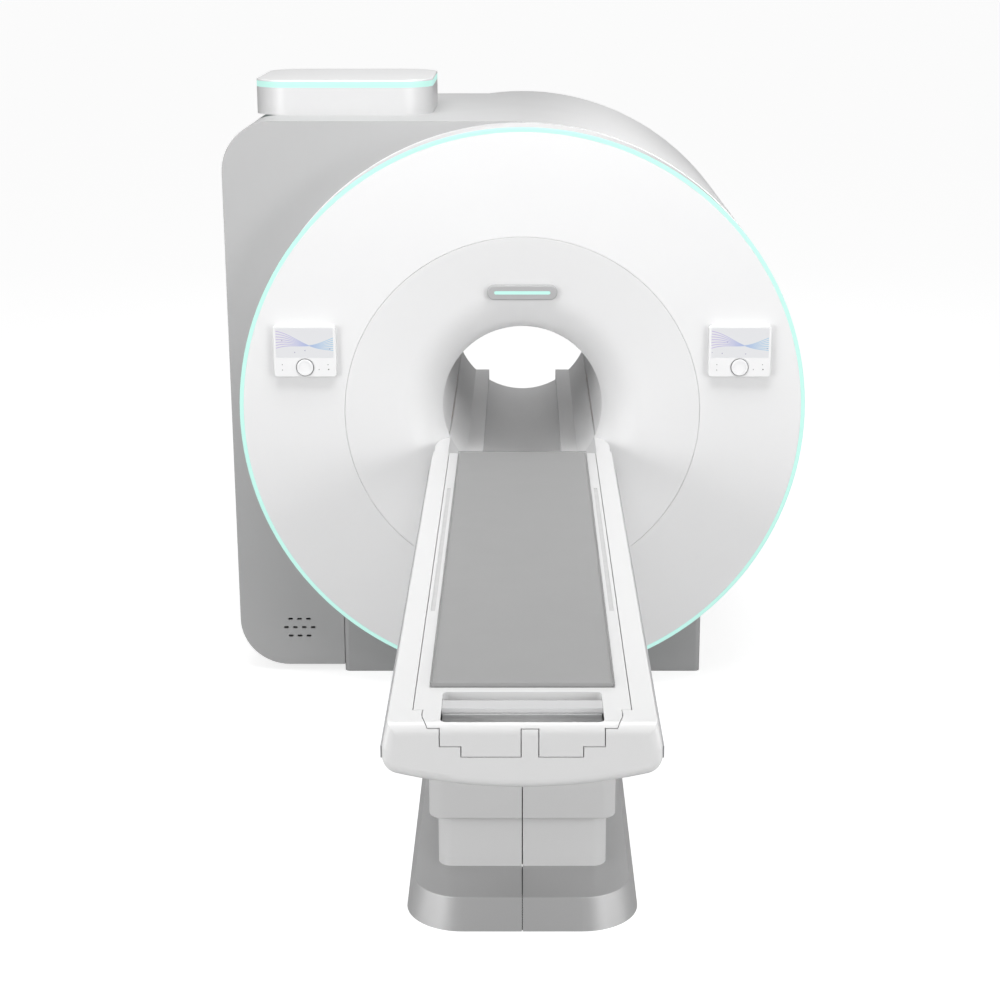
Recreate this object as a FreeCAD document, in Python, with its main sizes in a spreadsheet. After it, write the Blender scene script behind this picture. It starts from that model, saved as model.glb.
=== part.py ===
import FreeCAD, Part
import math
import os
import re

import Sketcher

# A superconducting whole-body MRI scanner: the magnet in its covers, and the patient table in front of it.
# Every piece is drawn in one frame: X to the right, Y along the patient bore, away from the table, Z up.
# That frame's origin is where the bore axis meets the plane of the front fascia. The bodies are then moved
# so that the origin of the whole scanner lies on the floor, below the middle of the bore.

os.makedirs("parts", exist_ok=True)
doc = FreeCAD.newDocument("mri_scanner")
sheet = doc.addObject("Spreadsheet::Sheet", "Sizes")

SIZES = {
    # magnet and covers
    "gantry_length": 1735,
    "axis_height": 1093,
    "bore_radius": 300,
    "fascia_radius": 1045,
    "seam_radius": 656,
    "skin": 6,
    "fit_gap": 0.3,
    "seam_gap": 0.8,
    "running_gap": 0.05,
    "edge_round": 2,
    "end_flat": 0.2,
    "cover_setback": 209,
    "return_depth": 40,
    "flare_knee_radius": 445,
    "flare_knee_depth": 40,
    "flare_curve": 199,
    "throat_depth": 155,
    "ring_width": 15,
    "ring_depth": 18,
    "rim_inset": 3,
    "rim_flange": 60,
    "shell_wall": 8,
    "rear_dish": 42,
    "rear_flat_radius": 900,
    # patient bore
    "liner_wall": 5,
    "liner_seam_drop": 120,
    "liner_seam": 10,
    "rail_inner": 151.5,
    "rail_drop": 212,
    "bridge_reach": 75,
    "bridge_half_width": 323,
    "bridge_lip": 14,
    "bridge_straight": 45,
    "bridge_curve": 310,
    # superconducting magnet
    "vessel_radius": 960,
    "vessel_bore": 440,
    "vessel_wall": 12,
    "vessel_front": 235,
    "vessel_length": 1265,
    "former_radius": 500,
    "former_wall": 12,
    "former_margin": 90,
    "strut_width": 24,
    "coil_height": 68,
    "coil_width": 110,
    "inner_coil_spread": 89,
    "middle_coil_spread": 253,
    "outer_coil_spread": 430,
    "gradient_inner": 350,
    "gradient_outer": 430,
    "gradient_length": 1300,
    "pad_size": 60,
    "rf_wall": 12,
    "rf_length": 700,
    "rf_ring": 60,
    "rf_rung": 24,
    "foot_inner": 470,
    # plinth and cabinet
    "plinth_half_width": 700,
    "plinth_floor": 8,
    "plinth_proud": 9,
    "plinth_round": 20,
    "cabinet_left": 1106,
    "cabinet_bottom": 1067,
    "cabinet_depth": 1311,
    "cabinet_round": 188,
    "deck_step": 3,
    "vent_length": 19,
    "vent_height": 9,
    "vent_pitch": 35,
    "vent_left": 875,
    "vent_drop": 913,
    "fan_size": 190,
    "fan_corner": 16,
    "fan_depth": 50,
    "fan_radius": 84,
    "fan_hub": 26,
    "fan_pin": 5,
    "fan_clear": 3,
    "spoke_width": 12,
    "spoke_depth": 6,
    "blade_root": 21,
    "blade_twist": 16,
    "blade_thickness": 4,
    "fan_left": 875,
    "fan_drop": 900,
    # turret on the deck
    "turret_left": 1014,
    "turret_right": 341,
    "turret_front": 458,
    "turret_depth": 652,
    "turret_height": 133,
    "turret_round": 130,
    "turret_band": 29,
    "lid_thickness": 7,
    "neck_radius": 90,
    "neck_clear": 10,
    "neck_rise": 12,
    "cold_flange": 12,
    "cold_head_radius": 62,
    "cold_head_height": 58,
    "cold_tip_radius": 43,
    "cold_tip_height": 25,
    # lamp over the bore
    "lamp_length": 256,
    "lamp_height": 55,
    "lamp_rise": 450,
    "lamp_front": 14,
    "lamp_strip_length": 205,
    "lamp_strip_height": 13,
    "lamp_strip_depth": 8,
    # control panels
    "panel_offset": 794,
    "panel_rise": 241,
    "panel_width": 228,
    "panel_height": 190,
    "panel_depth": 30,
    "panel_round": 12,
    "screen_width": 210,
    "screen_height": 110,
    "screen_rise": 32,
    "screen_sink": 2,
    "glass_sink": 0.5,
    "knob_radius": 30,
    "knob_gap": 3.5,
    "knob_drop": 58,
    "knob_proud": 7,
    "knob_sink": 4,
    "knob_shaft": 5,
    "knob_shaft_length": 14,
    "knob_dish": 1.5,
    "knob_dish_radius": 21.5,
    # couch
    "couch_length": 2566,
    "couch_rear_gap": 80,
    "table_top_drop": 123,
    "couch_half_width": 327,
    "couch_bulge": 341,
    "couch_bulge_drop": 190,
    "couch_bottom_drop": 296,
    "couch_bottom_curve": 1300,
    "couch_bottom_half": 305,
    "couch_corner": 45,
    "couch_corner_drop": 31.5,
    "couch_side_curve": 855,
    "couch_wall": 8,
    "couch_front_wall": 14,
    "couch_front_round": 30,
    "trim_height": 31,
    "trim_thickness": 4,
    "trim_rear_gap": 10,
    "channel_gap": 2.4,
    "channel_inner": 152,
    "slot_half_width": 202,
    "shelf_reach": 58,
    "frame_rear_gap": 6,
    "frame_floor_drop": 262,
    "sheet_metal": 6,
    "well_margin": 3,
    "well_height": 48,
    # cradle
    "wing_half_width": 267,
    "wing_thickness": 11,
    "wing_edge": 6,
    "wing_notch_half_width": 242,
    "wing_front_half_width": 225,
    "wing_notch_length": 95,
    "wing_curve": 150,
    "block_half_width": 199,
    "block_drop": 179,
    "tongue_half_width": 147,
    "tongue_drop": 206,
    "cradle_rear_gap": 100,
    "guide_left": -4,
    "guide_right": 41,
    "guide_step": 1,
    "runner_inner": 158,
    "runner_outer": 196,
    "runner_inset": 10,
    "handle_half_width": 199,
    "handle_start": 20,
    "handle_length": 191,
    "handle_recess": 46,
    "handle_round": 15,
    "bar_start": 120,
    "bar_width": 57,
    "bar_nose": 5,
    "bar_sink": 8,
    "bar_height": 16,
    "mattress_half_width": 234,
    "mattress_front": 241,
    "mattress_rear_gap": 112,
    "mattress_thickness": 17,
    "mattress_recess": 6,
    "groove_left": 245,
    "groove_width": 12,
    "groove_depth": 3,
    "groove_front": 818,
    "groove_length": 1262,
    # column and base
    "column_front": 1716,
    "column_length": 1000,
    "upper_half_width": 277,
    "upper_bottom": 277,
    "lower_half_width": 253,
    "lower_setback": 53,
    "lower_height": 500,
    "sleeve_wall": 6,
    "column_round": 42,
    "centre_seam": 3.2,
    "base_height": 97,
    "base_front": 1888,
    "base_rear": 350,
    "base_half_width": 345,
    "base_draft": 25,
    "base_round": 170,
    "base_rear_round": 40,
    "base_wall": 12,
    "deck_round": 3,
    "base_well_inset": 40,
    "frame_half_width": 290,
    "frame_rail": 60,
    "frame_saddle": 190,
    "frame_rear_inset": 60,
    "frame_lift": 33,
    "foot_radius": 32,
    "foot_inset": 50,
    "foot_height": 12,
    "duct_half_width": 160,
    "duct_height": 40,
    "duct_slope": 20,
    "duct_foot": 12,
    # lift and drive
    "guide_radius": 50,
    "guide_wall": 8,
    "guide_height": 420,
    "guide_spread": 250,
    "piston_length": 520,
    "lift_plate": 16,
    "lift_plate_half_width": 235,
    "plate_inset": 110,
    "screw_radius": 16,
    "screw_length": 517,
    "screw_clear": 3,
    "screw_start": 10,
    "nut_drop": 286,
    "nut_radius": 38,
    "nut_length": 60,
    "nut_tube_wall": 6,
    "gearbox_half_width": 80,
    "gearbox_height": 60,
    "motor_radius": 52,
    "motor_length": 142,
    "motor_sink": 20,
    "pulley_radius": 18,
    "pulley_width": 40,
    "pulley_shaft": 6,
    "pulley_inset": 150,
    "motor_case": 60,
    "motor_drop": 34,
    "motor_rise": 12,
    "belt_thickness": 3,
    "belt_width": 32,
    "belt_drop": 6,
    "lug_start": 190,
    "lug_length": 60,
}

for row, (name, value) in enumerate(SIZES.items(), start=1):
    sheet.set(f"A{row}", name)
    sheet.set(f"B{row}", str(value))
    sheet.setAlias(f"B{row}", name)
doc.recompute()

PARTS = []


# ---- formulas, sketches and features ----


def formula(text):
    """The formula, with each size's name pointed at the sheet."""
    return re.sub(r"[a-z]\w*", lambda m: "Sizes." + m[0] if m[0] in SIZES else m[0], str(text))


def size(text):
    """The number that a formula gives now."""
    return float(sheet.evalExpression(formula(text)))


def bind(item, name, text):
    """Ties one property to a formula over the sheet."""
    item.setExpression(name, formula(text))


def place(item, along="0", up="0"):
    """Moves a sub-part from the fascia's frame to the floor below the middle of the bore."""
    bind(item, "Placement.Base.y", f"-gantry_length / 2 + {along}")
    bind(item, "Placement.Base.z", f"axis_height + {up}")


def new_body(label):
    """A sub-part made of PartDesign features. Its label names its file."""
    body = doc.addObject("PartDesign::Body", label)
    body.Label = label
    place(body)
    PARTS.append(body)
    return body


def helper_body(label):
    """A body that only shapes others and isn't a piece of the scanner."""
    body = new_body(label)
    PARTS.remove(body)
    return body


def arc_centre(start, end, radius):
    """The centre of the shorter arc; a positive radius turns left."""
    chord = end - start
    rise = math.sqrt(max(radius**2 - (chord.Length / 2) ** 2, 0.0))
    left = FreeCAD.Vector(-chord.y, chord.x, 0).normalize()
    return (start + end) / 2 + left * math.copysign(rise, radius)


def draw_loop(sketch, corners):
    """Adds a closed outline. Each corner is (across, up), or (across, up, radius) when an arc leads to it."""
    points = [FreeCAD.Vector(size(c[0]), size(c[1]), 0) for c in corners]
    drawn = []
    for n, corner in enumerate(corners):
        start, end = points[n - 1], points[n]
        if len(corner) == 2:
            drawn.append((sketch.addGeometry(Part.LineSegment(start, end), False), 1, 2))
            continue
        radius = size(corner[2])
        centre = arc_centre(start, end, radius)
        turns = [math.atan2(p.y - centre.y, p.x - centre.x) for p in (start, end)]
        if radius < 0:
            turns.reverse()
        circle = Part.Circle(centre, FreeCAD.Vector(0, 0, 1), abs(radius))
        arc = sketch.addGeometry(Part.ArcOfCircle(circle, *turns), False)
        drawn.append((arc, 1, 2) if radius > 0 else (arc, 2, 1))
        limit = sketch.addConstraint(Sketcher.Constraint("Radius", arc, abs(radius)))
        bind(sketch, f"Constraints[{limit}]", f"abs({corner[2]})")
    for n, corner in enumerate(corners):
        edge, first, last = drawn[n]
        after, after_first, _ = drawn[(n + 1) % len(drawn)]
        sketch.addConstraint(Sketcher.Constraint("Coincident", edge, last, after, after_first))
        for kind, text in (("DistanceX", corner[0]), ("DistanceY", corner[1])):
            limit = sketch.addConstraint(Sketcher.Constraint(kind, -1, 1, edge, last, size(text)))
            bind(sketch, f"Constraints[{limit}]", text)


def draw_circle(sketch, across, up, radius):
    """Adds a circle."""
    middle = FreeCAD.Vector(size(across), size(up), 0)
    circle = sketch.addGeometry(Part.Circle(middle, FreeCAD.Vector(0, 0, 1), size(radius)), False)
    for kind, text in (("DistanceX", across), ("DistanceY", up)):
        limit = sketch.addConstraint(Sketcher.Constraint(kind, -1, 1, circle, 3, size(text)))
        bind(sketch, f"Constraints[{limit}]", text)
    limit = sketch.addConstraint(Sketcher.Constraint("Radius", circle, size(radius)))
    bind(sketch, f"Constraints[{limit}]", radius)


def sketch_on(body, plane, loops, level="0"):
    """A sketch on one of the body's own origin planes. A loop of three formulas is a circle."""
    sketch = body.newObject("Sketcher::SketchObject", body.Label + "_sketch")
    support = [item for item in body.Origin.OriginFeatures if item.Role == plane]
    sketch.AttachmentSupport = [(support[0], "")]
    sketch.MapMode = "FlatFace"
    bind(sketch, "AttachmentOffset.Base.z", level)
    for loop in loops:
        if len(loop) == 3 and isinstance(loop[0], str):
            draw_circle(sketch, *loop)
        else:
            draw_loop(sketch, loop)
    return sketch


def along_y(body, kind, loops, front, rear):
    """Pads or pockets outlines drawn in X and Z between two places along Y."""
    level = f"-({rear})" if kind == "Pad" else f"-({front})"
    return extrude(body, kind, sketch_on(body, "XZ_Plane", loops, level), f"({rear}) - ({front})")


def upward(body, kind, loops, low, high):
    """Pads or pockets outlines drawn in X and Y between two heights."""
    level = low if kind == "Pad" else high
    return extrude(body, kind, sketch_on(body, "XY_Plane", loops, level), f"({high}) - ({low})")


def sideways(body, kind, loops, left, right):
    """Pads or pockets outlines drawn in Y and Z between two places along X."""
    level = left if kind == "Pad" else right
    return extrude(body, kind, sketch_on(body, "YZ_Plane", loops, level), f"({right}) - ({left})")


def extrude(body, kind, sketch, length):
    """A pad or a pocket of a sketch. A pocket that cuts nothing is a fault."""
    before = body.Shape.Volume if kind == "Pocket" else 0
    feature = body.newObject("PartDesign::" + kind, body.Label + "_" + kind.lower())
    feature.Profile = sketch
    bind(feature, "Length", length)
    doc.recompute()
    if kind == "Pocket" and body.Shape.Volume > before - 1:
        raise ValueError(f"{body.Label}: a pocket cuts nothing")
    return feature


def revolve(body, loops, kind="Revolution"):
    """Turns outlines drawn in Y and radius once about the bore axis."""
    sketch = sketch_on(body, "YZ_Plane", loops)
    feature = body.newObject("PartDesign::" + kind, body.Label + "_turned")
    feature.Profile = sketch
    feature.ReferenceAxis = (sketch, ["H_Axis"])
    feature.Angle = 360
    doc.recompute()
    return feature


def repeat_round_y(body, feature, count):
    """Repeats a feature about the bore axis."""
    pattern = body.newObject("PartDesign::PolarPattern", body.Label + "_pattern")
    pattern.Originals = [feature]
    axis = [item for item in body.Origin.OriginFeatures if item.Role == "Y_Axis"]
    pattern.Axis = (axis[0], [""])
    pattern.Angle = 360
    pattern.Occurrences = count
    body.Tip = pattern
    doc.recompute()
    return pattern


def repeat_along_x(body, feature, count, pitch):
    """Repeats a feature to the right, a pitch apart."""
    pattern = body.newObject("PartDesign::LinearPattern", body.Label + "_row")
    pattern.Originals = [feature]
    axis = [item for item in body.Origin.OriginFeatures if item.Role == "X_Axis"]
    pattern.Direction = (axis[0], [""])
    bind(pattern, "Length", f"{count - 1} * {pitch}")
    pattern.Occurrences = count
    body.Tip = pattern
    doc.recompute()
    return pattern


def round_edges(body, radius, chosen, kind="Fillet"):
    """Fillets or chamfers the edges that the test picks, from their middle point and their direction."""
    base = body.Tip
    names = []
    for number, edge in enumerate(base.Shape.Edges, start=1):
        middle = edge.valueAt((edge.FirstParameter + edge.LastParameter) / 2)
        straight = edge.Curve.TypeId == "Part::GeomLine"
        heading = edge.tangentAt(edge.FirstParameter) if straight else None
        if chosen(middle, heading):
            names.append(f"Edge{number}")
    if not names:
        raise ValueError(f"{body.Label}: no edge to round")
    feature = body.newObject("PartDesign::" + kind, body.Label + "_round")
    feature.Base = (base, names)
    bind(feature, "Radius" if kind == "Fillet" else "Size", radius)
    doc.recompute()
    return feature


def runs_along(heading, axis):
    """Whether a straight edge lies along one axis (0, 1 or 2)."""
    return heading is not None and abs(abs(heading[axis]) - 1) < 1e-6


def near(value, text, slack=0.5):
    """Whether a coordinate is the one that a formula gives."""
    return abs(value - size(text)) < slack


def rectangle(left, low, right, high):
    """A rectangle as a loop of corners."""
    return [(left, low), (right, low), (right, high), (left, high)]


def rounded(left, low, right, high, radius):
    """A rectangle with rounded corners as a loop."""
    return [
        (f"{right} - ({radius})", low),
        (right, f"{low} + ({radius})", radius),
        (right, f"{high} - ({radius})"),
        (f"{right} - ({radius})", high, radius),
        (f"{left} + ({radius})", high),
        (left, f"{high} - ({radius})", radius),
        (left, f"{low} + ({radius})"),
        (f"{left} + ({radius})", low, radius),
    ]


def mirrored(corners):
    """A closed outline from its right half, given upwards. A line or the first corner's arc closes it."""
    left = []
    for n in range(len(corners) - 1, -1, -1):
        bend = corners[n + 1][2:] if n + 1 < len(corners) else ()
        left.append((f"-({corners[n][0]})", corners[n][1]) + tuple(bend))
    return list(corners) + left


def cut(label, base, tool):
    """A sub-part that is the first shape with the second cut away."""
    result = doc.addObject("Part::Cut", label)
    result.Label = label
    result.Base = base
    result.Tool = tool
    PARTS.append(result)
    doc.recompute()
    return result


# ---- magnet covers ----

FLARE_FRONT = [
    ("0", "seam_radius - seam_gap"),
    ("flare_knee_depth", "flare_knee_radius"),
    ("throat_depth", "bore_radius", "flare_curve"),
]
THROAT_OUTER = "bore_radius + shell_wall"


def front_fascia():
    """The flat annular front cover, a channel open to the rear."""
    body = new_body("front_fascia")
    outer = "fascia_radius - ring_width"
    revolve(body, [[
        ("0", "seam_radius"),
        ("0", outer),
        ("return_depth", outer),
        ("return_depth", f"{outer} - skin"),
        ("skin", f"{outer} - skin"),
        ("skin", "seam_radius + skin"),
        ("return_depth", "seam_radius + skin"),
        ("return_depth", "seam_radius"),
    ]])
    round_edges(body, "edge_round", lambda at, way: near(at.y, "0", 0.01))


def front_flare():
    """The trumpet-shaped inner cover, from the seam to the throat of the bore."""
    body = new_body("front_flare")
    rim = "seam_radius - seam_gap"
    revolve(body, [FLARE_FRONT + [
        ("throat_depth", THROAT_OUTER),
        ("flare_knee_depth + shell_wall", "flare_knee_radius + skin", "-(flare_curve - skin)"),
        ("shell_wall + skin", f"{rim} - skin"),
        ("return_depth", f"{rim} - skin"),
        ("return_depth", rim),
    ]])
    round_edges(body, "edge_round", lambda at, way: near(at.y, "0", 0.01))


def flare_space():
    """Everything that the flare keeps for itself: its wall and what lies behind it."""
    body = helper_body("flare_space")
    revolve(body, [FLARE_FRONT + [
        ("throat_depth", "fascia_radius"),
        ("0", "fascia_radius"),
    ]])
    return body


def ring_light():
    """The light ring round the edge of the fascia."""
    body = new_body("ring_light")
    inner = "fascia_radius - ring_width"
    revolve(body, [rectangle("0", inner, "ring_depth", "fascia_radius")])
    round_edges(body, "ring_width / 3", lambda at, way: near(at.y, "0", 0.01) and at.Length > size(inner) + 2)


def rim_band():
    """The deep white rim between the ring light and the barrel, with a flange that meets the barrel."""
    body = new_body("rim_band")
    outer = "fascia_radius - rim_inset"
    revolve(body, [[
        ("ring_depth", f"{outer} - shell_wall"),
        ("ring_depth", outer),
        ("cover_setback", outer),
        ("cover_setback", f"{outer} - rim_flange"),
        ("cover_setback - skin", f"{outer} - rim_flange"),
        ("cover_setback - skin", f"{outer} - shell_wall"),
    ]])


def barrel_cover():
    """The cylindrical cover of the magnet, open at the bottom over the plinth."""
    body = new_body("barrel_cover")
    inner = "fascia_radius - shell_wall"
    side = "plinth_half_width + fit_gap"
    rear = "gantry_length - rear_dish"
    corners = [
        (side, f"-sqrt((fascia_radius) ^ 2 - ({side}) ^ 2)"),
        ("0", "fascia_radius", "fascia_radius"),
        (f"-({side})", f"-sqrt((fascia_radius) ^ 2 - ({side}) ^ 2)", "fascia_radius"),
        (f"-({side})", f"-sqrt(({inner}) ^ 2 - ({side}) ^ 2)"),
        ("0", inner, f"-({inner})"),
        (side, f"-sqrt(({inner}) ^ 2 - ({side}) ^ 2)", f"-({inner})"),
    ]
    along_y(body, "Pad", [corners], "cover_setback", rear)
    hole = (NECK_X, NECK_Y, "neck_radius + neck_clear")
    upward(body, "Pocket", [hole], "0", "fascia_radius + 1")


def rear_cover():
    """The dished rear cover, with a collar round the end of the bore liner."""
    body = new_body("rear_cover")
    edge = "gantry_length - rear_dish"
    collar = "bore_radius + liner_wall + fit_gap"
    revolve(body, [[
        (edge, "fascia_radius - shell_wall"),
        (edge, "fascia_radius"),
        ("gantry_length", "rear_flat_radius"),
        ("gantry_length", collar),
        ("gantry_length - return_depth", collar),
        ("gantry_length - return_depth", f"{collar} + skin"),
        ("gantry_length - skin", f"{collar} + skin"),
        ("gantry_length - skin", "rear_flat_radius - skin"),
    ]])
    round_edges(body, "edge_round * 3", lambda at, way: near(at.y, "gantry_length", 0.01)
                and near(math.hypot(at.x, at.z), "rear_flat_radius"))


def plinth():
    """The plinth: a plate on the floor with walls round the magnet's feet, hollowed to the barrel."""
    body = new_body("plinth")
    front = "cover_setback - plinth_proud"
    rear = "gantry_length - rear_dish"
    outline = rounded("-plinth_half_width", front, "plinth_half_width", rear, "plinth_round")
    upward(body, "Pad", [outline], "-axis_height", "-fascia_radius / 2")
    inner = rounded("-plinth_half_width + shell_wall", f"{front} + shell_wall",
                    "plinth_half_width - shell_wall", f"{rear} - shell_wall",
                    "plinth_round - shell_wall")
    upward(body, "Pocket", [inner], "-axis_height + plinth_floor", "-fascia_radius / 2")
    along_y(body, "Pocket", [("0", "0", "fascia_radius + fit_gap")], f"{front} - 1", f"{rear} + 1")


CABINET_TOP = "fascia_radius + deck_step"
NECK_X = "-(turret_left + turret_right) / 2"
NECK_Y = "turret_front + turret_depth / 2"


def cabinet_outline(inset):
    """The squared side of the cabinet, from the deck's right end round to the plinth, moved in by inset."""
    left = f"-cabinet_left + {inset}"
    top = f"{CABINET_TOP} - {inset}"
    low = f"-cabinet_bottom + {inset}"
    bend = f"cabinet_round - {inset}"
    return [
        (f"-cabinet_left + cabinet_round", top),
        (left, f"{CABINET_TOP} - cabinet_round", bend),
        (left, f"-cabinet_bottom + cabinet_round"),
        (f"-cabinet_left + cabinet_round", low, bend),
        ("-(plinth_half_width + fit_gap)", low),
    ]


def backwards(corners):
    """The same open outline from its other end, with its arcs turned round."""
    turned = []
    for n in range(len(corners) - 1, -1, -1):
        bend = corners[n + 1][2:] if n + 1 < len(corners) else ()
        turned.append(corners[n][:2] + tuple(f"-({b})" for b in bend))
    return turned


def cabinet_wall(body, front):
    """Pads a flat end wall of the cabinet, cut round the barrel."""
    reach = "fascia_radius + fit_gap"
    side = "plinth_half_width + fit_gap"
    corners = [("0", CABINET_TOP)] + cabinet_outline("0") + [
        (f"-({side})", f"-sqrt(({reach}) ^ 2 - ({side}) ^ 2)"),
        ("0", reach, f"-({reach})"),
    ]
    along_y(body, "Pad", [corners], front, f"{front} + shell_wall")


def cabinet_shell():
    """The cabinet's deck, side and floor, folded as one wall round its open inside, and its rear wall."""
    body = new_body("cabinet_shell")
    reach = "fascia_radius + fit_gap"
    deck = f"{CABINET_TOP} - shell_wall"
    corners = [("0", CABINET_TOP)] + cabinet_outline("0") + backwards(cabinet_outline("shell_wall")) + [
        (f"-sqrt(({reach}) ^ 2 - ({deck}) ^ 2)", deck),
        ("0", reach, f"-({reach})"),
    ]
    rear = "cover_setback + cabinet_depth - shell_wall"
    along_y(body, "Pad", [corners], "cover_setback + shell_wall", rear)
    cabinet_wall(body, rear)
    hole = (NECK_X, NECK_Y, "neck_radius + neck_clear")
    upward(body, "Pocket", [hole], "fascia_radius - 40", f"{CABINET_TOP} + 1")


def cabinet_front_panel():
    """The cabinet's front wall, with three rows of cooling slots low on its left."""
    body = new_body("cabinet_front_panel")
    cabinet_wall(body, "cover_setback")
    # the middle row has one slot more, and starts half a pitch further out
    for row, count in ((1, 3), (0, 4), (-1, 3)):
        left = f"-vent_left - {count - 1} * vent_pitch / 2"
        up = f"-vent_drop + {row} * vent_pitch"
        slot = rounded(f"{left} - vent_length / 2", f"{up} - vent_height / 2",
                       f"{left} + vent_length / 2", f"{up} + vent_height / 2", "vent_height / 2 - end_flat")
        feature = along_y(body, "Pocket", [slot], "cover_setback - 1", "cover_setback + shell_wall + 1")
        repeat_along_x(body, feature, count, "vent_pitch")


FAN_FRONT = "cover_setback + shell_wall"
FAN_REAR = "cover_setback + shell_wall + fan_depth"


def fan_housing():
    """The square fan frame behind the cooling slots, with the pin that the rotor turns on."""
    body = new_body("fan_housing")
    left, up = "-fan_left", "-fan_drop"
    outline = rounded(f"{left} - fan_size / 2", f"{up} - fan_size / 2",
                      f"{left} + fan_size / 2", f"{up} + fan_size / 2", "fan_corner")
    along_y(body, "Pad", [outline], FAN_FRONT, FAN_REAR)
    along_y(body, "Pocket", [(left, up, "fan_radius + fan_clear")], f"{FAN_FRONT} - 1", f"{FAN_REAR} + 1")
    spoke = rectangle(f"{left} - fan_radius - fan_clear * 2", f"{up} - spoke_width / 2",
                      f"{left} + fan_radius + fan_clear * 2", f"{up} + spoke_width / 2")
    along_y(body, "Pad", [spoke], f"{FAN_REAR} - spoke_depth", FAN_REAR)
    along_y(body, "Pad", [(left, up, "fan_hub")], f"{FAN_REAR} - spoke_depth", FAN_REAR)
    along_y(body, "Pad", [(left, up, "fan_pin")], f"{FAN_FRONT} + fan_clear * 2", FAN_REAR)


def fan_rotor():
    """The fan's hub and blades, on its own pin."""
    body = new_body("fan_rotor")
    bind(body, "Placement.Base.x", "-fan_left")
    bind(body, "Placement.Base.z", "axis_height - fan_drop")
    front = f"{FAN_FRONT} + fan_clear * 2"
    rear = f"{FAN_REAR} - spoke_depth - 1"
    along_y(body, "Pad", [("0", "0", "fan_hub")], front, rear)
    blade = [
        (f"{front} + 1", "blade_twist / 2"),
        (f"{front} + 1 + blade_thickness", "blade_twist / 2"),
        (f"{rear} - 1", "-blade_twist / 2"),
        (f"{rear} - 1 - blade_thickness", "-blade_twist / 2"),
    ]
    sketch = sketch_on(body, "YZ_Plane", [blade], "blade_root")
    feature = extrude(body, "Pad", sketch, "fan_radius - blade_root")
    repeat_round_y(body, feature, 7)
    along_y(body, "Pocket", [("0", "0", "fan_pin + running_gap")], f"{front} - 1", f"{rear} + 1")


def turret_outline(inset):
    """The turret's plan."""
    return rounded(f"-turret_left + {inset}", f"turret_front + {inset}", f"-turret_right - {inset}",
                   f"turret_front + turret_depth - {inset}", f"turret_round - {inset}")


def turret():
    """The turret over the cold head: its wall, its light band and its lid."""
    top = f"{CABINET_TOP} + turret_height - deck_step"
    band = f"{top} - turret_band"
    under_lid = f"{top} - lid_thickness"
    housing = new_body("turret_housing")
    upward(housing, "Pad", [turret_outline("0"), turret_outline("shell_wall")], CABINET_TOP, band)
    light = new_body("turret_light")
    upward(light, "Pad", [turret_outline("0"), turret_outline("shell_wall * 2")], band, under_lid)
    lid = new_body("turret_lid")
    upward(lid, "Pad", [turret_outline("0")], under_lid, top)
    round_edges(lid, "lid_thickness * 0.7", lambda at, way: near(at.z, top, 0.01))


def cold_head():
    """The neck that rises from the magnet vessel, and the cryogenic cold head on it."""
    neck = helper_body("neck_blank")
    top = f"{CABINET_TOP} + neck_rise"
    upward(neck, "Pad", [(NECK_X, NECK_Y, "neck_radius")], "vessel_radius / 2", top)
    vessel = helper_body("vessel_space")
    revolve(vessel, [rectangle("vessel_front", "0", "vessel_front + vessel_length", "vessel_radius")])
    cut("service_neck", neck, vessel)
    head = new_body("cold_head")
    shoulder = f"{top} + cold_flange + cold_head_height"
    upward(head, "Pad", [(NECK_X, NECK_Y, "neck_radius + skin")], top, f"{top} + cold_flange")
    upward(head, "Pad", [(NECK_X, NECK_Y, "cold_head_radius")], f"{top} + cold_flange", shoulder)
    upward(head, "Pad", [(NECK_X, NECK_Y, "cold_tip_radius")], shoulder, f"{shoulder} + cold_tip_height")


# ---- magnet ----


def cryostat():
    """The vacuum vessel, an open ring-shaped trough, and the plate that closes its rear."""
    front = "vessel_front"
    rear = "vessel_front + vessel_length"
    vessel = new_body("cryostat_vessel")
    revolve(vessel, [[
        (front, "vessel_bore"),
        (front, "vessel_radius"),
        (f"{rear} - vessel_wall", "vessel_radius"),
        (f"{rear} - vessel_wall", "vessel_radius - vessel_wall"),
        (f"{front} + vessel_wall", "vessel_radius - vessel_wall"),
        (f"{front} + vessel_wall", "vessel_bore + vessel_wall"),
        (f"{rear} - vessel_wall", "vessel_bore + vessel_wall"),
        (f"{rear} - vessel_wall", "vessel_bore"),
    ]])
    plate = new_body("cryostat_end_plate")
    revolve(plate, [rectangle(f"{rear} - vessel_wall", "vessel_bore", rear, "vessel_radius")])


def coil_former():
    """The tube that the superconducting coils are wound on, hung in the vessel by struts."""
    body = new_body("coil_former")
    front = "vessel_front + former_margin"
    rear = "vessel_front + vessel_length - former_margin"
    revolve(body, [rectangle(front, "former_radius", rear, "former_radius + former_wall")])
    ends = [
        rectangle("-strut_width / 2", f"{end} - strut_width / 2", "strut_width / 2", f"{end} + strut_width / 2")
        for end in (f"{front} + strut_width", f"{rear} - strut_width")
    ]
    struts = upward(body, "Pad", ends, "former_radius + former_wall / 2", "vessel_radius - vessel_wall - fit_gap")
    repeat_round_y(body, struts, 8)


def main_coils():
    """Six superconducting windings, in three pairs about the middle of the bore."""
    body = new_body("main_coils")
    low = "former_radius + former_wall + fit_gap"
    loops = []
    for spread in ("inner_coil_spread", "middle_coil_spread", "outer_coil_spread"):
        for sign in ("-", "+"):
            middle = f"vessel_front + vessel_length / 2 {sign} {spread}"
            loops.append(rectangle(f"{middle} - coil_width / 2", low,
                                   f"{middle} + coil_width / 2", f"{low} + coil_height"))
    revolve(body, loops)


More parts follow.
